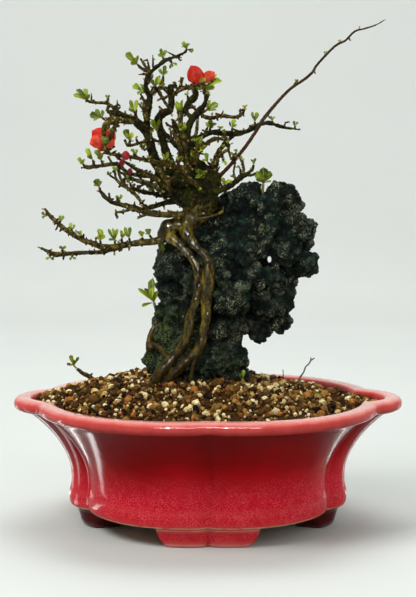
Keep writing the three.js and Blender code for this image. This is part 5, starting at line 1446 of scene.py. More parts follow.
# Short limbs that cross before the trunk and fill the middle of the crown
CROSSING = (
    ((-36.5, 240.5, -24, 1.1), (-33, 237.5, -25, 1.6), (-29.5, 233, -25, 1.9), (-26.5, 228.5, -25, 1.7),
     (-25.2, 225.5, -25, 1)),
    ((-20, 241, -24, 1.2), (-14, 234, -26, 1.2), (-8, 227.5, -26, 1.1), (-3, 221.5, -25, 0.9)),
    ((-56, 243, -20, 1), (-49, 238.5, -22, 1.2), (-43, 235.5, -23, 1.3), (-37, 232.5, -22, 1.4),
     (-30, 228.5, -20, 1.6), (-24, 223, -20, 1.8)),
    ((-51.5, 231, -18, 1), (-44, 229.4, -20, 1.2), (-37, 226.6, -21, 1.4), (-30, 222.5, -20, 1.6)),
    ((-19, 276, -10, 1.4), (-18, 268, -11, 1.6), (-16, 260, -12, 1.8), (-15, 250, -12, 1.9),
     (-14, 240, -13, 2)),
    ((-24, 263, -16, 1.1), (-20, 256, -16, 1.3), (-18, 249, -16, 1.4), (-20, 243, -15, 1.4)),
    ((-3, 256, -20, 1.1), (-7, 249, -20, 1.3), (-9, 241, -19, 1.4)),
)

# Shoots that stand by themselves: the stem's rows, then each leaf's tip with its width
SPROUTS: dict[str, tuple] = {
    "rock_top_sprout": (((36, 219, -3, 1.5), (36.2, 224, -4, 1.3), (36.6, 228.4, -4, 1)),
     ((31.2, 237.4, -4, 5.6), (36.6, 240.4, -3, 6), (42.2, 237.4, -4, 5.6), (30.6, 231.4, -4, 1.6),
     (42.8, 230, -4, 1.6))),
    "rock_left_sprout": (((-31, 143, -12, 1.1), (-34.8, 145.4, -13, 1.2), (-36, 149, -13, 1.1)),
     ((-36.6, 168, -13, 7), (-48.5, 160, -13, 3), (-43.4, 160, -11, 2.4), (-45.6, 146, -13, 2.6))),
    "rock_side_leaf": (((-27, 178, -9, 0.9), (-29, 181, -11, 0.8), (-30, 182, -12, 0.7)),
     ((-31.4, 190.4, -13, 5.2),)),
    "left_sucker_leaves": (((-87.8, 104.6, 6, 0.8), (-89.8, 106.6, 6, 0.8)), ((-92.6, 114.8, 6, 3),
     (-86, 113.4, 7, 2.2), (-95.4, 108, 5, 2.4))),
    "front_sprout": (((23.6, 90, -26, 0.9), (23, 98, -26, 1)), ((24, 104.6, -26, 3),
     (20.6, 101.6, -27, 2))),
}

# Spurs too small for a leaf cluster of their own
SMALL_SPURS = (
    ((-84.5, 191.3, -31), (-84, 193.6, -33), ((-84, 198, -35, 2.4), (-87.4, 197, -35, 2))),
    ((-90, 181.9, -21), (-90.2, 179.4, -22), ((-87.4, 177.6, -24, 2.6), (-92.4, 177.2, -24, 2))),
    ((-58.6, 214.3, -27), (-58.6, 217.2, -27), ((-57.4, 221.6, -27, 2.6), (-61.4, 220.4, -27, 2.2))),
    ((-61.4, 234.6, -24), (-61.6, 236.4, -24), ((-62.6, 240.4, -25, 2.6), (-59.8, 239.6, -26, 2))),
    ((-48, 244.9, -30), (-48, 247.6, -30), ((-51.4, 251.2, -31, 2.6), (-46.6, 251, -31, 2.4))),
    ((57, 293.2, -15), (57.4, 294, -15.4), ((59.4, 296.6, -16, 1.6), (57, 297, -16, 1.2))),
    ((77, 311.6, -10), (77, 312.6, -10), ((78.2, 315, -10, 1.6), (75.6, 314.6, -10, 1.2))),
    ((86, 319.7, -7), (86, 320.2, -7), ((87.4, 322.4, -7, 1.3), (84.8, 322, -7, 1))),
    ((98.5, 328, -3.4), (98.6, 328.8, -3.4), ((99.4, 331.2, -3, 1.2),)),
    ((42, 267.6, 9), (42.4, 269.4, 9), ((41, 273, 9, 2.2), (44.6, 272.4, 9, 2))),
    ((57, 264, 13), (57.4, 266, 13), ((56, 269.6, 13, 2), (59.6, 269, 13, 1.8))),
    ((-29, 240.4, -24), (-28, 243.4, -25), ((-25.8, 249.6, -27, 3.6), (-30.4, 249, -27, 2.8))),
    ((-20, 238.8, -20), (-19.4, 241.4, -22), ((-17, 246.8, -23, 3), (-21.6, 246.4, -24, 2.4))),
    ((-11, 240, -14), (-10.6, 244.6, -17), ((-10, 251.6, -19, 2.8), (-6.6, 247, -19, 2.6))),
    ((3, 240, -17), (0, 241.6, -19), ((-1.8, 249.4, -21, 3),)),
    ((9, 247.4, -20), (10.4, 243.8, -22), ((12.4, 239.4, -23, 2.4),)),
    ((14, 227, -20), (14.4, 227.6, -21), ((16.4, 230.6, -22, 2.4),)),
    ((-4.6, 231, -18), (-4.8, 232.4, -20), ((-6.6, 236.4, -22, 3.4),)),
    ((30, 239.4, -20), (30, 240.4, -20), ((31.6, 245.6, -20, 2.4), (28, 244.6, -20, 2))),
    ((22.9, 241.6, -20), (22.8, 242.6, -20), ((21.6, 247, -20, 2),)),
    ((22, 273.6, -20), (24, 276.4, -21), ((26.4, 280.2, -21, 1.8), (22.6, 280, -21, 1.6))),
    ((-3.9, 293.2, -16), (-3.6, 294, -17), ((-4.9, 297.6, -17, 2), (-1.6, 298, -17, 2))),
)


def brushwood() -> list[tuple]:
    """Short crooked spurs that fill the middle of the crown.

    Returns:
        The spurs, each as in SMALL_SPURS, some with a few tiny leaves.
    """
    draw = random.Random(9)
    made = []
    for x, z, depth, _ in (row for rows in (*BOUGHS, *BACK_BOUGHS, *CROSSING) for row in rows):
        if 214 < z < 296 and -70 < x < 30 and draw.random() < 0.5:
            lean, length = draw.uniform(-1.3, 1.3), draw.uniform(3.0, 7.0)
            end = (x + length * math.sin(lean), z + length * math.cos(lean), depth + draw.uniform(-3.0, 2.0))
            tips = [(end[0] + draw.uniform(-2.4, 2.4), end[1] + draw.uniform(1.4, 3.2), end[2], 1.7)
                    for _ in range(draw.choice((0, 0, 2, 3)))]
            made.append(((x, z, depth), end, tips))
    return made


BRUSHWOOD = brushwood()


# Wood


@dataclass(frozen=True)
class Bark:
    """Bark: wet, smooth and honey-olive on the old roots, dark and rough on the trunk, brown on twigs."""

    crack: str = "050301"
    twig: str = "332b0f"
    scale: str = "7d6f34"
    trunk: str = "0d0d06"
    lichen: str = "2a2b11"
    moss: str = "262f0a"
    root: str = "332808"
    honey: str = "7a6a1c"
    young: str = "4e3119"

    def material(self) -> Finish:
        """The bark as a material.

        Returns:
            The material; it reads the attributes wet, old and red, each from 0 to 1.
        """
        s = Surface("quince_bark")
        wet, old, red = s.attribute("wet"), s.attribute("old"), s.attribute("red")
        grain = s.noise(450.0, 7.0, 0.7)
        twig = s.ramp(s.remap(grain, 0.36, 0.64), (0.0, self.crack), (0.5, self.twig), (1.0, self.scale))
        trunk = s.ramp(s.remap(grain, 0.36, 0.7), (0.0, self.crack), (0.5, self.trunk), (1.0, self.lichen))
        trunk = s.mix(s.remap(s.noise(110.0, 4.0), 0.48, 0.62, 0.0, 0.8), trunk, self.moss)
        squashed = s.mapped(1.0, 1.0, 0.35)
        streak = s.noise(300.0, 6.0, 0.65, squashed)
        root = s.ramp(s.remap(streak, 0.34, 0.66), (0.0, "0e0902"), (0.45, self.root), (1.0, self.honey))
        dots = s.remap(s.cells(620.0), 0.1, 0.24, 0.7, 0.0)
        root = s.mix(s.times(dots, s.remap(s.noise(120.0), 0.5, 0.62)), root, "a08a4c")
        low = s.remap(s.part(s.where, 2), 0.142, 0.112)
        root = s.mix(s.times(low, 0.75), root, s.mix(streak, "0e0902", "3d2f1a"))
        colour = s.mix(wet, s.mix(old, twig, trunk), root)
        colour = s.mix(red, colour, s.mix(s.remap(grain, 0.3, 0.7), "22160a", self.young))
        rough = s.minus(s.remap(grain, 0.3, 0.7, 0.45, 0.8), s.times(wet, 0.36))
        s.set(Base_Color=colour, Roughness=rough, Specular_IOR_Level=0.03,
              Coat_Weight=s.remap(s.minus(wet, s.times(low, 0.7)), 0.0, 1.0, 0.01, 0.5), Coat_Roughness=0.05)
        s.set(Coat_Normal=s.bump(s.noise(240.0, 3.0), 0.0006, 0.12))
        rings = s.mapped(0.3, 0.3, 1.6)
        fine = s.plus(s.noise(1000.0, 5.0, 0.7), s.times(s.noise(620.0, 3.0, 0.5, rings), wet))
        furrows = s.bump(fine, 0.0006, s.remap(wet, 0.0, 1.0, 0.8, 0.45))
        ridges = s.noise(520.0, 4.0, 0.6, squashed)
        s.set(Normal=s.bump(ridges, 0.0008, s.remap(wet, 0.0, 1.0, 0.6, 0.4), furrows))
        return s.material


@dataclass(frozen=True)
class BudScales:
    """Resting buds: brown scales at the foot, tan and green at the tip."""

    def material(self) -> Finish:
        """The scales as a material.

        Returns:
            The material; it reads the attributes along and red.
        """
        s = Surface("bud_scales")
        tip = s.mix(s.attribute("red"), "98a34a", "b0935f")
        colour = s.mix(s.remap(s.attribute("along"), 0.3, 0.8), "3a2515", tip)
        colour = s.mix(s.remap(s.noise(900.0), 0.35, 0.65, 0.5, 0.0), colour, "4a3620")
        s.set(Base_Color=colour, Roughness=0.5)
        s.set(Normal=s.bump(s.noise(1400.0), 0.0002, 0.6))
        return s.material


@dataclass(frozen=True)
class DeadWood:
    """Dry grey wood."""

    grey: str = "77756c"

    def material(self) -> Finish:
        """The dry wood as a material.

        Returns:
            The material.
        """
        s = Surface("dry_wood")
        colour = s.ramp(s.noise(700.0, 4.0), (0.35, "4a473f"), (0.65, self.grey))
        s.set(Base_Color=colour, Roughness=0.85)
        s.set(Normal=s.bump(s.noise(1500.0, 3.0), 0.0002, 0.6))
        return s.material


@dataclass
class Limbs:
    """Middle lines of limbs, and the rules that put wood round them."""

    name: str
    material: Finish
    # the least radius, in millimetres
    least: float = 0.22
    points: list[Vector] = field(default_factory=list)
    edges: list[tuple[int, int]] = field(default_factory=list)
    values: dict[str, list[float]] = field(default_factory=lambda: defaultdict(list))

    def add(self, rows: Sequence[Row], wet: float = 0.0, red: float = 0.0) -> None:
        """Adds one limb.

        Args:
            rows: its (x, z, depth, radius) rows.
            wet: how wet and smooth its bark is, 0 to 1.
            red: how red and young its bark is, 0 to 1.
        """
        smooth = curve_through(rows, 4)
        start = len(self.points)
        self.points += [place(x, z, depth) for x, z, depth, _ in smooth]
        self.edges += [(start + n, start + n + 1) for n in range(len(smooth) - 1)]
        self.values["girth"] += [max(radius, self.least) * MM for *_, radius in smooth]
        self.values["wet"] += [wet] * len(smooth)
        self.values["red"] += [red] * len(smooth)

    def lines(self) -> Piece:
        """The middle lines.

        Returns:
            Loose edges, with each point's girth and look.
        """
        piece = new_object(self.name, self.points, (), self.edges)
        for title, numbers in self.values.items():
            paint(piece, title, numbers)
        return piece

    def skinned(self, step: float, sides: int, knots: float, furrows: float) -> Piece:
        """Round limbs along the lines.

        Args:
            step: how far apart the rings lie, in millimetres.
            sides: the sides of a ring.
            knots: how much the girth swells and shrinks, as a share of it.
            furrows: how deep the bark is broken up, in millimetres.

        Returns:
            The limbs as one plain mesh.
        """
        rule = Rule(f"{self.name}_skin", Step=step * MM, Sides=sides, Knots=knots, Furrows=furrows * MM)
        line = rule.node("GeometryNodeMeshToCurve", {"Mesh": rule.given[0]}).outputs[0]
        pace = {"Curve": line, "Length": rule.input("Step")}
        fine = rule.node("GeometryNodeResampleCurve", pace, mode="LENGTH").outputs[0]
        knotty = rule.times(rule.input("Knots"), rule.remap(rule.named("red"), 0.6, 1.0, 1.0, 0.2))
        swell = rule.plus(1.0, rule.times(rule.ripples(330.0, 3.0), knotty))
        radius = rule.times(rule.named("girth"), swell)
        sized = rule.node("GeometryNodeSetCurveRadius", {"Curve": fine, "Radius": radius}).outputs[0]
        round_ring = {"Resolution": rule.input("Sides"), "Radius": 1.0}
        ring = rule.node("GeometryNodeCurvePrimitiveCircle", round_ring).outputs[0]
        reach = rule.node("GeometryNodeInputRadius").outputs[0]
        tube = {"Curve": sized, "Profile Curve": ring, "Scale": reach, "Fill Caps": True}
        skin = rule.node("GeometryNodeCurveToMesh", tube).outputs[0]
        rough = rule.times(rule.ripples(800.0, 4.0), rule.input("Furrows"))
        rule.close(rule.swell(skin, rough), self.material)
        return rule.run(self.lines())


@dataclass
class Tree:
    """The quince itself: clasping roots, trunk, boughs, twigs, and the knobs that stud them."""

    # the old wood is what is thicker than this radius, in millimetres
    thick: float = 2.35
    # the height above which the bark is old, in metres
    root_top: float = 0.2035
    voxel: float = 0.58 * MM

    def grown(self, rows: Sequence[Row]) -> bool:
        """Whether a limb is thick enough to belong to the old wood."""
        return max(row[3] for row in rows) > self.thick

    def old_wood(self, bark: Finish) -> Piece:
        """Roots, trunk and main boughs melted into one body, then furrowed.

        Args:
            bark: the material.

        Returns:
            The body.
        """
        limbs = Limbs("old_wood", bark)
        for rows in filter(self.grown, (*ROOTS, *TRUNK, *BOUGHS, *BACK_BOUGHS)):
            limbs.add(rows)
        body = fused(limbs.skinned(step=1.0, sides=14, knots=0.6, furrows=0.5), self.voxel, smoothing=3)
        rule = Rule("bark_relief", Ridge_depth=1.9 * MM, Crack_depth=0.7 * MM, Root_top=self.root_top)
        place_now = rule.node("GeometryNodeInputPosition").outputs[0]
        above = rule.minus(rule.part(place_now, 2), rule.input("Root top"))
        old = rule.remap(above, 0.003, 0.014)
        sideways = rule.part(place_now, 0)
        wet = rule.times(rule.remap(above, 0.009, -0.002), rule.remap(sideways, -0.055, -0.028, 0.1, 1.0))
        gnarl = rule.times(rule.ripples(130.0, 3.0), rule.input("Ridge depth"))
        fine = rule.times(rule.ripples(520.0, 4.0), rule.input("Crack depth"))
        deep = rule.times(rule.plus(gnarl, fine), rule.remap(old, 0.0, 1.0, 0.6, 1.3))
        shaped = rule.swell(rule.given[0], deep)
        kept = rule.store(rule.store(shaped, "wet", wet), "old", rule.times(old, 0.8))
        rule.close(rule.store(kept, "red", 0.0), bark)
        return rule.run(body)

    def twigs(self, bark: Finish) -> Piece:
        """The thin boughs, twigs, thorns, spurs and bud stalks.

        Args:
            bark: the material.

        Returns:
            The twigs.
        """
        limbs = Limbs("twigs", bark)
        for wet, kinds in ((0.08, (*BOUGHS, *BACK_BOUGHS, *HOOKS, *CROSSING)), (1.0, ROOTS)):
            for rows in kinds:
                if not self.grown(rows):
                    limbs.add(rows, wet=wet)
        for x, z, depth, tip_x, tip_z, tip_depth, radius in THORNS:
            tip = (tip_x, tip_z, tip_depth, 0.25)
            middle = ((x + tip_x) / 2, (z + tip_z) / 2, (depth + tip_depth) / 2, 0.75 * radius)
            limbs.add(((x, z, depth, radius), middle, tip), red=0.3)
        for start, end, _ in (*LEAFY_SPURS.values(), *SMALL_SPURS, *BRUSHWOOD):
            limbs.add(((*start, 1.0), (*end, 0.7)), red=0.5)
        for bud in FLOWER_BUDS:
            limbs.add(((*bud.start, 0.9), (*bud.at, 0.9)), red=0.3)
        limbs.add(SUCKER_STEM, wet=0.3)
        limbs.add([(*row[:3], 0.82 * row[3]) for row in LONG_SHOOT], wet=0.1, red=1.0)
        return limbs.skinned(step=0.5, sides=10, knots=0.75, furrows=0.75)

    def studs(self, name: str, wood: Sequence[Piece], shapes: Sequence[Piece], density: float,
              sizes: tuple[float, float], material: Finish) -> Piece:
        """Small growths scattered over all wood but the wet roots.

        Args:
            name: the piece's name.
            wood: what they grow on.
            shapes: the growths to copy.
            density: how many are thrown on a square metre.
            sizes: the least and the greatest size, in millimetres.
            material: their finish.

        Returns:
            The growths as one plain mesh.
        """
        bag = shape_bag(f"{name}_shapes", shapes)
        rule = Rule(name, Density=density, Smallest=sizes[0] * MM, Largest=sizes[1] * MM, Seed=11)
        seed = rule.input("Seed")
        aged = rule.remap(rule.named("red"), 1.0, 0.7, 0.06)
        dry = rule.times(rule.remap(rule.named("wet"), 0.5, 0.2), aged)
        bare = rule.remap(rule.named("old"), 0.1, 0.8, 1.0, 0.16)
        thrown = rule.times(rule.times(dry, rule.input("Density")), bare)
        spots = rule.thrown(thrown, seed)
        size = rule.random(rule.input("Smallest"), rule.input("Largest"), seed)
        lean = rule.random((-0.7, -0.7, -3.1), (0.7, 0.7, 3.1), seed, "FLOAT_VECTOR")
        inputs = {0: spots["Rotation"], 1: lean}
        turned = rule.node("FunctionNodeRotateRotation", inputs, rotation_space="LOCAL")
        marked = rule.store(spots["Points"], "red", rule.random(0.0, 1.0, seed))
        rule.close(rule.copies(marked, bag, Rotation=turned.outputs[0], Scale=size), material)
        made = rule.run(joined(name, [shown(name, piece.data.copy()) for piece in wood]))
        emptied(bag)
        return made

    @staticmethod
    def growth(kind: int, height: float, rings: Sequence[tuple[float, float]]) -> Piece:
        """One growth of unit size that points along +Z.

        Args:
            kind: seeds its unevenness.
            height: how tall it is.
            rings: the share of the height and the radius of each ring.

        Returns:
            The growth, with the attribute along.
        """
        draw = random.Random(50 + kind)
        points = []
        for share, radius in rings:
            for angle in turns(6):
                reach = radius * draw.uniform(0.8, 1.2)
                points.append((reach * math.cos(angle), reach * math.sin(angle), share * height - 0.2))
        last = 6 * (len(rings) - 1)
        faces = [*grid_faces(len(rings), 6, True), tuple(range(last, last + 6))]
        shape = new_object(f"growth_{kind}", points, faces)
        paint(shape, "along", [share for share, _ in rings for _ in range(6)])
        return shape

    def dead(self) -> None:
        """The dry twig that stands in the soil."""
        limbs = Limbs("dry_twig", DeadWood().material())
        for rows in (DEAD_TWIG, DEAD_TWIG_FORK, DEAD_BLADE):
            limbs.add(rows)
        settle(limbs.skinned(step=0.5, sides=8, knots=0.3, furrows=0.12), Slot.DEAD_WOOD, "dead_twig")

    def build(self) -> None:
        """Builds all wood and what studs it."""
        bark = Bark().material()
        wood = (self.old_wood(bark), self.twigs(bark))
        stub = ((0.0, 0.62), (0.35, 0.5), (0.75, 0.44), (1.0, 0.2))
        spur = ((0.0, 0.5), (0.2, 0.38), (0.4, 0.32), (0.6, 0.38), (0.8, 0.44), (1.0, 0.2))
        bud = ((0.0, 0.34), (0.3, 0.26), (0.45, 0.36), (0.65, 0.52), (0.85, 0.4), (1.0, 0.12))
        # name, first kind, heights, rings, how many on a square metre, least and greatest size, finish
        growths = (
            ("twig_knobs", 0, (0.9, 1.5, 0.7, 1.9, 1.2), stub, 60000.0, (0.5, 1.6), bark),
            ("old_spurs", 20, (1.4, 2.0, 1.1), spur, 9000.0, (1.0, 2.0), bark),
            ("resting_buds", 10, (1.6, 2.2, 1.3, 2.8), bud, 19000.0, (0.8, 1.6), BudScales().material()),
        )
        made = []
        for name, first, heights, rings, density, sizes, skin in growths:
            shapes = [self.growth(first + n, height, rings) for n, height in enumerate(heights)]
            made.append(self.studs(name, wood, shapes, density, sizes, skin))
        settle(wood[0], Slot.BARK, "tree_wood")
        settle(wood[1], Slot.BARK, "sucker_stem")
        for piece in made:
            settle(piece, Slot.BARK)
        self.dead()


# Leaves


@dataclass(frozen=True)
class LeafSkin:
    """Young quince leaf: bright yellow-green, a paler midrib, a reddish base, a waxy sheen."""

    fresh: str = "9fb01c"
    deep: str = "33490d"
    rib: str = "b4bd68"
    blush: str = "8a4a28"

    def material(self) -> Finish:
        """The leaf as a material.

        Returns:
            The material; it reads the attributes tone, across and along.
        """
        s = Surface("quince_leaf")
        tone, across, along = s.attribute("tone"), s.attribute("across"), s.attribute("along")
        aside = s.math("ABSOLUTE", across)
        colour = s.mix(s.plus(tone, s.drift(350.0, -0.15, 0.15)), self.deep, self.fresh)
        ladder = s.math("FRACT", s.minus(s.times(along, 7.0), s.times(aside, 1.6)))
        vein = s.remap(s.math("ABSOLUTE", s.minus(ladder, 0.5)), 0.38, 0.5)
        rib = s.remap(aside, 0.12, 0.03)
        colour = s.mix(s.times(s.math("MAXIMUM", rib, s.times(vein, 0.4)), 0.6), colour, self.rib)
        colour = s.mix(s.remap(along, 0.22, 0.02), colour, self.blush)
        edge = s.times(s.remap(aside, 0.85, 1.0), s.remap(tone, 0.45, 0.75))
        colour = s.mix(s.times(edge, 0.5), colour, self.blush)
        s.set(Base_Color=colour, Roughness=0.42, Specular_IOR_Level=0.1, Coat_Weight=0.05, Coat_Roughness=0.2,
              Subsurface_Weight=0.2, Subsurface_Scale=0.002)
        relief = s.minus(s.times(aside, 0.4), s.times(vein, 0.3))
        s.set(Normal=s.bump(relief, 0.0004, 0.7))
        return s.material


def leaf_turn(ahead: Vector, face: Vector) -> Euler:
    """The turn that lays a leaf.

    Args:
        ahead: where its tip points.
        face: where its upper side looks.

    Returns:
        The turn.
    """
    ahead = ahead.normalized()
    up = (face - ahead * face.dot(ahead)).normalized()
    return Matrix((ahead.cross(up), ahead, up)).transposed().to_euler()


@dataclass
class Foliage:
    """Every leaf of the tree, the sprouts on the rock and in the soil included."""

    # how much of the way to its tip a leaf takes up
    share: float = 0.88
    # how many small leaves each spur gets besides its own
    small_leaves: int = 4
    length_steps: int = 12
    width_steps: int = 6
    # how each of the variants folds, curls and twists
    bends: tuple[tuple[float, float, float], ...] = (
        (0.5, 0.14, 0.3), (0.3, -0.24, -0.35), (0.75, 0.28, 0.1), (0.4, -0.1, 0.5), (0.15, 0.2, -0.15),
    )
    rows: list[tuple[Vector, Vector, Vector, float]] = field(default_factory=list)

    def outline(self, along: float) -> float:
        """Half the width of a leaf of unit width: a narrow wedge at the stalk, broad and blunt at the tip."""
        return 0.6 * along ** 0.95 * math.sqrt(max(0.0, 1.0 - along ** 5.0))

    def shape(self, kind: int) -> Piece:
        """One leaf of unit length along +Y, its upper face towards +Z.

        Args:
            kind: which of the variants.

        Returns:
            The leaf.
        """
        fold, curl, twist = self.bends[kind]
        points, across, along = [], [], []
        for r in range(self.length_steps + 1):
            v = r / self.length_steps
            half = max(self.outline(v), 0.02 if v < 0.5 else 0.0)
            tooth = 1.0 - 0.07 * (r % 2) if 0.2 < v < 0.98 else 1.0
            for c in range(self.width_steps + 1):
                u = 2.0 * c / self.width_steps - 1.0
                x = u * half * (tooth if abs(u) > 0.95 else 1.0)
                z = fold * abs(x) + curl * math.sin(math.pi * v) + twist * x * v
                z += 0.03 * math.sin(9.0 * v + 2.0 * u + kind)
                points.append((x, v - 0.05 * u * u * v, z))
                across.append(u)
                along.append(v)
        return sheet(f"leaf_{kind}", points, self.width_steps + 1, False, None, across=across, along=along)

    def add(self, base: Sequence[float], tips: Sequence[Row], seed: int) -> None:
        """Adds the leaves of one spur.

        Args:
            base: the (x, z, depth) where they meet.
            tips: each leaf's tip and width.
            seed: draws how they tilt, and the small leaves among them.
        """
        if not tips:
            return
        draw = random.Random(seed)
        foot = place(*base)
        for *tip, width in tips:
            face = Vector((draw.uniform(-0.5, 0.5), -1.0, draw.uniform(0.0, 0.7)))
            self.rows.append((foot, self.share * (place(*tip) - foot), face, width * MM))
        # a few small leaves lean about among them
        longest = max((row[1] for row in self.rows[-len(tips):]), key=lambda reach: reach.length)
        for _ in range(self.small_leaves):
            lean = Vector([draw.uniform(-1.0, 1.0) for _ in range(3)]) * 0.75 * longest.length
            reach = (longest + lean).normalized() * longest.length * draw.uniform(0.4, 0.72)
            face = Vector((draw.uniform(-1.0, 1.0), -1.0, draw.uniform(0.0, 1.5)))
            self.rows.append((foot, reach, face, 0.42 * reach.length))

    def build(self) -> None:
        """Copies the leaves onto their spurs and settles them for all packed leaf pieces."""
        nodes = []
        for seed, (name, (_, at, tips)) in enumerate(LEAFY_SPURS.items()):
            self.add(at, tips, seed)
            nodes.append(f"leaves_{name}")
        for seed, (_, at, tips) in enumerate((*SMALL_SPURS, *BRUSHWOOD)):
            self.add(at, tips, 60 + seed)
        for seed, (name, (stem, tips)) in enumerate(SPROUTS.items()):
            self.add(stem[-1][:3], tips, 90 + seed)
            nodes.append(name)
        spots = new_object("leaves", [foot for foot, *_ in self.rows])
        paint(spots, "turn", [leaf_turn(reach, face) for _, reach, face, _ in self.rows])
        lengths = [(reach.length, width) for _, reach, _, width in self.rows]
        paint(spots, "size", [(1.12 * wide, long, 0.5 * (wide + long)) for long, wide in lengths])
        skin = LeafSkin().material()
        shapes = shape_bag("leaf_shapes", [self.shape(n) for n in range(5)])
        rule = Rule("leaves_on_spurs", Palest=0.95, Darkest=0.1, Seed=5)
        seed = rule.input("Seed")
        tone = rule.random(rule.input("Darkest"), rule.input("Palest"), seed)
        toned = rule.store(rule.given[0], "tone", tone)
        kind = rule.random(0, 4, seed, "INT")
        leaves = rule.copies(toned, shapes, Rotation=rule.named("turn", "FLOAT_VECTOR"),
                             Scale=rule.named("size", "FLOAT_VECTOR"), Instance_Index=kind)
        rule.close(leaves, skin)
        settle(rule.run(spots), Slot.LEAF, *nodes)
        emptied(shapes)
        stems = Limbs("sprout_stems", skin)
        for stem, _ in SPROUTS.values():
            stems.add([(*row[:3], 0.8 * row[3]) for row in stem])
        stalks = stems.skinned(step=0.6, sides=8, knots=0.25, furrows=0.1)
        paint(stalks, "along", [0.12] * len(stalks.data.vertices))
        settle(stalks, Slot.LEAF)


# Flowers


@dataclass(frozen=True)
class PetalSkin:
    """Vermilion petal with a paler claw, darker veins that run lengthwise, and a satin sheen."""

    name: str = "quince_petal"
    light: str = "ec5638"
    deep: str = "ac1a0c"
    claw: str = "d98a70"

    def material(self) -> Finish:
        """The petal as a material.

        Returns:
            The material; it reads the attributes across, along and tone.
        """
        s = Surface(self.name)
        across, along = s.attribute("across"), s.attribute("along")
        fan = s.math("SINE", s.times(across, 26.0))
        vein = s.times(s.remap(fan, 0.2, 1.0), s.remap(along, 1.0, 0.3, 0.1, 0.5))
        cloud = s.plus(s.drift(260.0, -0.5, 0.5), s.attribute("tone"))
        colour = s.mix(cloud, self.deep, self.light)
        colour = s.mix(vein, colour, self.deep)
        colour = s.mix(s.remap(along, 0.2, 0.02), colour, self.claw)
        s.set(Base_Color=colour, Roughness=0.5, Specular_IOR_Level=0.12, Subsurface_Weight=0.12,
              Subsurface_Scale=0.002)
        s.set(Normal=s.bump(s.plus(fan, s.noise(500.0)), 0.00015, 0.5))
        return s.material


@dataclass(frozen=True)
class CalyxSkin:
    """Olive-green cup, reddish where it meets the petals."""

    green: str = "727a2c"
    red: str = "8d3a22"

    def material(self) -> Finish:
        """The cup as a material.

        Returns:
            The material; it reads the attribute along.
        """
        s = Surface("quince_calyx")
        colour = s.mix(s.drift(400.0), "4a5622", self.green)
        colour = s.mix(s.remap(s.attribute("along"), 0.45, 1.0, 0.0, 0.8), colour, self.red)
        s.set(Base_Color=colour, Roughness=0.45, Specular_IOR_Level=0.1)
        s.set(Normal=s.bump(s.noise(900.0), 0.0001, 0.5))
        return s.material


@dataclass(frozen=True)
class AntherSkin:
    """Pale filaments with yellow anthers."""

    def material(self) -> Finish:
        """The stamens as a material.

        Returns:
            The material; it reads the attribute along.
        """
        s = Surface("quince_stamen")
        yellow = s.mix(s.drift(1500.0), "c79a2e", "ecd06a")
        s.set(Base_Color=s.mix(s.remap(s.attribute("along"), 0.8, 0.9), "e8c8b4", yellow), Roughness=0.6)
        return s.material


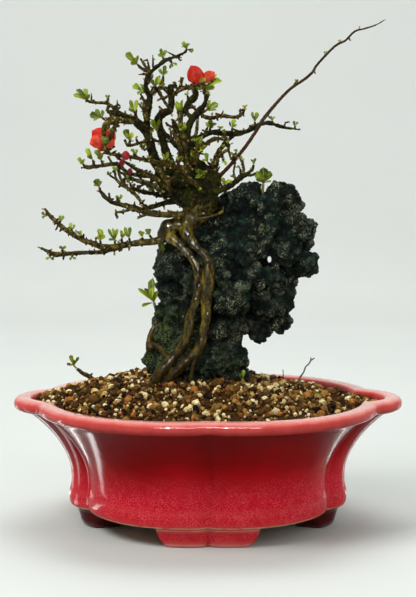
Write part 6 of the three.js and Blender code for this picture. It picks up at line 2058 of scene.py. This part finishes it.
@dataclass
class Flower:
    """An open flower: five cupped petals in a green cup, with stamens in the middle."""

    name: str
    at: tuple[float, float, float]
    opening: tuple[float, float, float]
    # each petal's tip, seen from the flower's middle as (x, z, depth), and its width
    petal_rows: tuple[Row, ...]
    cup_size: float
    seed: int
    filaments: int = 26
    middle: Vector = field(init=False)
    open: Vector = field(init=False)
    first: Vector = field(init=False)
    second: Vector = field(init=False)

    def __post_init__(self) -> None:
        """Works out the flower's own three directions."""
        self.middle = place(*self.at)
        self.open = Vector(self.opening).normalized()
        self.first = Vector((0.0, 0.0, 1.0)).cross(self.open).normalized()
        self.second = self.open.cross(self.first)

    def around(self, count: int) -> list[Vector]:
        """Directions that point away from the flower's axis, evenly spread round it."""
        return [math.cos(a) * self.first + math.sin(a) * self.second for a in turns(count)]

    def petal(self, row: Row, wave: float, tone: float, skin: Finish) -> Piece:
        """One petal.

        Args:
            row: its tip, from the flower's middle, and its width.
            wave: shifts the frills of its edge.
            tone: how light it is, 0 to 1.
            skin: its finish.

        Returns:
            The petal, a thin shell.
        """
        steps, wide = 18, 14
        x, z, depth, width = row
        tip = Vector((x, depth, z))
        reach = tip.normalized()
        inner = (self.open - reach * reach.dot(self.open)).normalized()
        side = reach.cross(inner)
        points, across, along = [], [], []
        for r in range(steps + 1):
            v = r / steps
            open_up = min(1.0, v / 0.5)
            flare = 0.1 + 0.9 * open_up * open_up * (3.0 - 2.0 * open_up)
            half = 0.54 * width * flare * math.sqrt(max(0.0, 1.0 - max(0.0, (v - 0.4) / 0.6) ** 2.4))
            for u in spread(-1.0, 1.0, wide + 1):
                length = tip.length * (v - 0.06 * u * u * v)
                cup = width * (0.16 * u * u * v ** 0.6 - 0.13 * math.sin(math.pi * 0.9 * v))
                frill = 0.025 * tip.length * v * v * math.sin(4.5 * u + wave)
                crease = 0.014 * width * math.sin(12.0 * u + wave) * v
                lift = cup + frill + crease
                points.append(self.middle + MM * (length * reach + half * u * side + lift * inner))
                across.append(u)
                along.append(v)
        tones = [tone] * len(points)
        made = sheet("petal", points, wide + 1, False, skin, across=across, along=along, tone=tones)
        return bake(modified(made, "SOLIDIFY", thickness=0.28 * MM, offset=0.0))

    def cup(self, skin: Finish) -> Piece:
        """The green cup behind the petals, with five blunt lobes at its mouth.

        Args:
            skin: its finish.

        Returns:
            The cup.
        """
        profile = ((-4.8, 0.5), (-4.4, 1.1), (-3.2, 1.9), (-1.8, 2.3), (-0.4, 2.55), (0.5, 2.75))
        rows = curve_through(profile, 4)
        around = 30
        points, along = [], []
        for n, (z, radius) in enumerate(rows):
            share = n / (len(rows) - 1)
            for angle, out in zip(turns(around), self.around(around)):
                lobe = math.cos(5.0 * angle)
                height = z + 0.75 * (1.0 + lobe) * share ** 3
                reach = radius * (1.0 + 0.06 * lobe)
                points.append(self.middle + self.cup_size * MM * (reach * out + height * self.open))
                along.append(share)
        made = sheet(f"{self.name}_cup", points, around, True, skin, along=along)
        return bake(modified(made, "SOLIDIFY", thickness=0.4 * MM))

    def stamens(self, skin: Finish) -> Piece:
        """A tuft of filaments, each with its anther.

        Args:
            skin: their finish.

        Returns:
            The tuft.
        """
        draw = random.Random(self.seed)
        # the share of the filament's length and the radius of each ring
        rings = ((0.1, 0.13), (0.5, 0.12), (0.85, 0.12), (0.88, 0.3), (0.94, 0.4), (1.0, 0.28), (1.0, 0.01))
        along = [share for share, _ in rings for _ in range(6)]
        made = []
        for n in range(self.filaments):
            lean = 0.1 + 0.5 * draw.random()
            # each stands a golden angle further round than the last
            out = math.cos(2.4 * n) * self.first + math.sin(2.4 * n) * self.second
            way = math.cos(lean) * self.open + math.sin(lean) * out
            side = way.cross(self.open.orthogonal()).normalized()
            other = way.cross(side)
            length = draw.uniform(3.6, 5.0)
            spokes = [math.cos(a) * side + math.sin(a) * other for a in turns(6)]
            points = [
                self.middle + MM * (share * length * way + radius * spoke)
                for share, radius in rings for spoke in spokes
            ]
            made.append(sheet("stamen", points, 6, True, skin, along=along))
        return joined(f"{self.name}_stamens", made)

    def build(self, petal: Finish, calyx: Finish, stamen: Finish) -> None:
        """Builds and settles the flower's three pieces.

        Args:
            petal: the petals' finish.
            calyx: the cup's finish.
            stamen: the stamens' finish.
        """
        # painted shade and light: each petal gets its own lightness, so that the petals stand apart as if lit
        # differently
        petals = [
            self.petal(row, 1.7 * n + self.seed, tone, petal)
            for n, (row, tone) in enumerate(zip(self.petal_rows, (0.1, 0.6, 0.3, 0.75, 0.45)))
        ]
        settle(joined(f"{self.name}_corolla", petals), Slot.PETAL, f"{self.name}_petals")
        settle(self.cup(calyx), Slot.CALYX, f"{self.name}_calyx")
        settle(self.stamens(stamen), Slot.PETAL)


@dataclass(frozen=True)
class FlowerBud:
    """A closed flower bud on its stalk: overlapping petals wound round each other."""

    name: str
    start: tuple[float, float, float]
    at: tuple[float, float, float]
    radius: float

    def build(self, skin: Finish) -> None:
        """Builds and settles the bud.

        Args:
            skin: its finish.
        """
        up = Vector((0.0, -0.25, 1.0)).normalized()
        first = up.orthogonal().normalized()
        second = up.cross(first)
        middle = place(*self.at)
        rows, around = 20, 36
        points, along, across = [], [], []
        for r in range(rows + 1):
            v = r / rows
            tall = math.pi * (v - 0.5)
            for angle in turns(around):
                wound = (5.0 * angle / (2.0 * math.pi) + 0.9 * v) % 1.0
                ridge = 1.0 + 0.09 * (wound - 0.5) * math.sin(math.pi * v)
                out = math.cos(angle) * first + math.sin(angle) * second
                height = 1.12 * math.sin(tall) + 0.12 * max(0.0, math.sin(tall)) ** 6
                points.append(middle + self.radius * MM * (ridge * math.cos(tall) * out + height * up))
                along.append(v)
                across.append(2.0 * wound - 1.0)
        made = sheet(f"{self.name}_petals", points, around, True, skin, along=along, across=across)
        settle(made, Slot.BUD, self.name)


FLOWERS = (
    Flower("flower_left", at=(-67.8, 257.0, -33.5), opening=(-0.2, 0.97, 0.1), petal_rows=(
        (-8.4, 5.6, 2.6, 9.4), (-10, -2.8, 0.8, 8.2), (-3.4, -7.6, 3.4, 8.4), (4.6, -6.2, 1.2, 7.8),
        (6.4, 4.4, 3.2, 8.2),
    ), cup_size=1.15, seed=3),
    Flower("flower_right", at=(-5.0, 291.8, -4.0), opening=(0.05, 0.75, 0.66), petal_rows=(
        (-6.2, 13.4, -1.5, 11.2), (9.2, 9.4, -0.5, 9.8), (5, 2.8, 8.5, 7.5), (0, 0.6, 10, 7.5),
        (-6, 3.6, 8, 7.5),
    ), cup_size=0.75, seed=4),
)

FLOWER_BUDS = (
    FlowerBud("flower_bud_1", (-56, 246.6, -31), (-54.2, 246.4, -34.5), 2.6),
    FlowerBud("flower_bud_2", (-57.6, 239.6, -22), (-56.8, 241.6, -25.5), 1.9),
    FlowerBud("flower_bud_3", (-51.6, 234.8, -19.6), (-51.6, 236, -23), 1.7),
)


# Moss


@dataclass
class Moss:
    """Cushions of moss on the rock, where it stays damp."""

    tufts: int = 9000

    def material(self) -> Finish:
        """The moss as a material.

        Returns:
            The material; it reads the attribute tone.
        """
        s = Surface("moss")
        colour = s.mix(s.plus(s.attribute("tone"), s.drift(900.0, -0.2, 0.2)), "101a07", "47591a")
        s.set(Base_Color=colour, Roughness=0.85, Sheen_Weight=0.1, Sheen_Roughness=0.5)
        return s.material

    @staticmethod
    def tuft(kind: int) -> Piece:
        """One spiky cushion of unit size.

        Args:
            kind: seeds its unevenness.

        Returns:
            The cushion.
        """
        draw = random.Random(80 + kind)
        shape = ball(f"tuft_{kind}", 1, 0.6)
        for v in shape.data.vertices:
            v.co *= draw.uniform(0.7, 1.7) if v.co.z > 0.0 else 1.0
        return shape

    def build(self, ground: Piece) -> None:
        """Grows the moss.

        Args:
            ground: the piece it grows on, with the attribute green.
        """
        shapes = shape_bag("tuft_shapes", [self.tuft(n) for n in range(4)])
        rule = Rule("moss", Tufts=self.tufts, Smallest=0.35 * MM, Largest=0.9 * MM, Seed=21)
        seed = rule.input("Seed")
        density = rule.math("DIVIDE", rule.input("Tufts"), area_of(ground))
        damp = rule.remap(rule.named("green"), 0.6, 1.0)
        spots = rule.thrown(rule.times(density, rule.times(damp, 6.0)), seed)
        toned = rule.store(spots["Points"], "tone", rule.random(0.0, 1.0, seed))
        size = rule.random(rule.input("Smallest"), rule.input("Largest"), seed)
        rule.close(rule.copies(toned, shapes, Rotation=spots["Rotation"], Scale=size), self.material())
        settle(rule.run(shown("moss", ground.data.copy())), Slot.ROCK)
        emptied(shapes)


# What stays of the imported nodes, the stage and the run


@dataclass(frozen=True)
class DrainPlastic:
    """Black plastic mesh, matt, with a woven ripple."""

    black: str = "1b1c1b"

    def material(self) -> Finish:
        """The plastic as a material.

        Returns:
            The material.
        """
        s = Surface("drain_plastic")
        s.set(Base_Color=s.mix(s.drift(200.0, 0.0, 0.4), self.black, "3a3b38"), Roughness=0.62)
        s.set(Normal=s.bump(s.noise(900.0), 0.0001, 0.5))
        return s.material


@dataclass
class Stage:
    """The pale floor, the soft lights and the camera at the photograph's angle."""

    eye: tuple[float, float, float] = (0.0, -1.0, 0.254)
    pitch_down: float = 0.102
    lens: float = 36.0 * 1509.0 / 597.0
    near: str = "bec2bf"
    far: str = "f4f6f4"
    aim: tuple[float, float, float] = (0.0, 0.0, 0.17)

    def floor(self) -> None:
        """A pale floor that curves up into a backdrop."""
        profile = [(-3.0, 0.0), (1.2, 0.0)]
        profile += [(1.2 + 0.8 * math.sin(a), 0.8 - 0.8 * math.cos(a)) for a in spread(0.1, math.pi / 2, 14)]
        profile.append((2.0, 4.0))
        points = [(x, y, z) for y, z in profile for x in (-4.0, 4.0)]
        faces = [(2 * n, 2 * n + 1, 2 * n + 3, 2 * n + 2) for n in range(len(profile) - 1)]
        ground = new_object("floor", points, faces)
        ground.data.shade_smooth()
        s = Surface("pale_floor")
        # painted light: the floor is darker near the front and lighter towards the back, where it also glows
        # faintly though it is no lamp
        back = s.remap(s.part(s.where, 1), 0.2, 1.4, 0.0, 0.45)
        away = s.plus(back, s.remap(s.part(s.where, 2), 0.1, 1.2, 0.0, 0.55))
        shade = s.mix(s.plus(away, s.drift(4.0, -0.02, 0.02, 2.0)), self.near, self.far)
        s.set(Base_Color=shade, Roughness=0.6, Specular_IOR_Level=0.2, Emission_Color=shade,
              Emission_Strength=s.remap(away, 0.2, 1.0, 0.0, 0.2))
        ground.data.materials.append(s.material)

    def light(self, name: str, place_at: Sequence[float], size: tuple[float, float], power: float,
              colour: tuple[float, float, float] = (1.0, 1.0, 1.0), mirrored: bool = False) -> None:
        """A light that looks at the tree.

        Args:
            name: its name.
            place_at: where it hangs.
            size: its width and height, in metres.
            power: its power, in watts.
            colour: its linear red, green and blue.
            mirrored: whether it is only mirrored as a gleam, and lights nothing else.
        """
        lamp = bpy.data.lights.new(name, "AREA")
        lamp.shape = "RECTANGLE"
        lamp.size, lamp.size_y = size
        lamp.energy = power
        lamp.color = colour
        made = shown(name, lamp)
        made.location = place_at
        made.visible_diffuse = not mirrored
        made.visible_glossy = mirrored
        made.visible_camera = False
        made.rotation_euler = (Vector(self.aim) - Vector(place_at)).to_track_quat("-Z", "Y").to_euler()

    def glow(self, name: str, start: tuple[float, float], end: tuple[float, float], width: float,
             power: float) -> None:
        """A strip of light on the floor, for long streaks down the glaze.

        Args:
            name: its name.
            start: the X and Y of one end.
            end: the X and Y of the other end.
            width: how wide it is, in metres.
            power: its power, in watts.
        """
        run = Vector(end) - Vector(start)
        middle = (Vector(start) + Vector(end)) / 2.0
        self.light(name, (middle.x, middle.y, 0.004), (run.length, width), power, mirrored=True)
        bpy.data.objects[name].rotation_euler = (math.pi, 0.0, math.atan2(run.y, run.x))

    def build(self) -> None:
        """Sets the stage."""
        scene = bpy.context.scene
        self.floor()
        self.light("key", (-0.75, -0.7, 1.25), (0.6, 0.6), 18.2, (1.0, 0.99, 0.97))
        self.light("fill", (1.2, -0.9, 0.7), (1.0, 0.9), 6.8)
        self.light("top", (0.1, 0.35, 1.5), (1.1, 0.8), 15.0)
        # small bright panes that the glaze and the wet roots mirror
        self.light("pane", (-0.2, -1.3, 0.75), (0.05, 0.6), 12.0, mirrored=True)
        self.light("wide_pane", (0.0, -1.3, 0.8), (0.9, 0.05), 18.0, mirrored=True)
        self.glow("left_glow", (-0.11, -0.005), (-0.6, 0.06), 0.016, 0.3)
        self.glow("left_crease", (-0.12, 0.06), (-0.65, 0.46), 0.01, 0.2)
        self.glow("right_crease", (0.12, 0.06), (0.65, 0.46), 0.007, 0.09)
        world = bpy.data.worlds.new("soft_room")
        world.use_nodes = True
        room = Graph(world.node_tree)
        toward = room.node("ShaderNodeTexCoord").outputs["Generated"]
        sky = world.node_tree.nodes["Background"]
        room.feed(sky.inputs[0], "e6eae7")
        behind = room.remap(room.part(toward, 1), -0.35, 0.35, 0.2, 1.0)
        above = room.remap(room.part(toward, 2), 0.2, 0.7, 0.0, 0.85)
        room.feed(sky.inputs[1], room.math("MAXIMUM", behind, above))
        scene.world = world
        scene.view_settings.view_transform = "Standard"
        view = bpy.data.cameras.new("camera")
        view.lens = self.lens
        view.sensor_width = view.sensor_height = 36.0
        view.sensor_fit = "AUTO"
        camera = shown("camera", view)
        camera.location = self.eye
        camera.rotation_euler = (math.pi / 2 - self.pitch_down, 0.0, 0.0)
        scene.camera = camera


def main() -> None:
    """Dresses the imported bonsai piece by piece."""
    logging.basicConfig(level=logging.INFO, format="%(message)s")
    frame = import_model()
    pot = Pot()
    pot.build()
    Soil(pot).build()
    rock = Rock().build()
    Moss().build(rock)
    Tree().build()
    Foliage().build()
    petal, calyx, stamen = PetalSkin().material(), CalyxSkin().material(), AntherSkin().material()
    for flower in FLOWERS:
        flower.build(petal, calyx, stamen)
    crimson = PetalSkin("quince_bud", "c63c44", "8c1a26", "a06a48").material()
    for bud in FLOWER_BUDS:
        bud.build(crimson)
    plastic = DrainPlastic().material()
    for name in ("drain_mesh_left", "drain_mesh_right"):
        mesh = frame["nodes"][name].data
        mesh.materials.clear()
        mesh.materials.append(plastic)
    Stage().build()


if __name__ == "__main__":
    main()
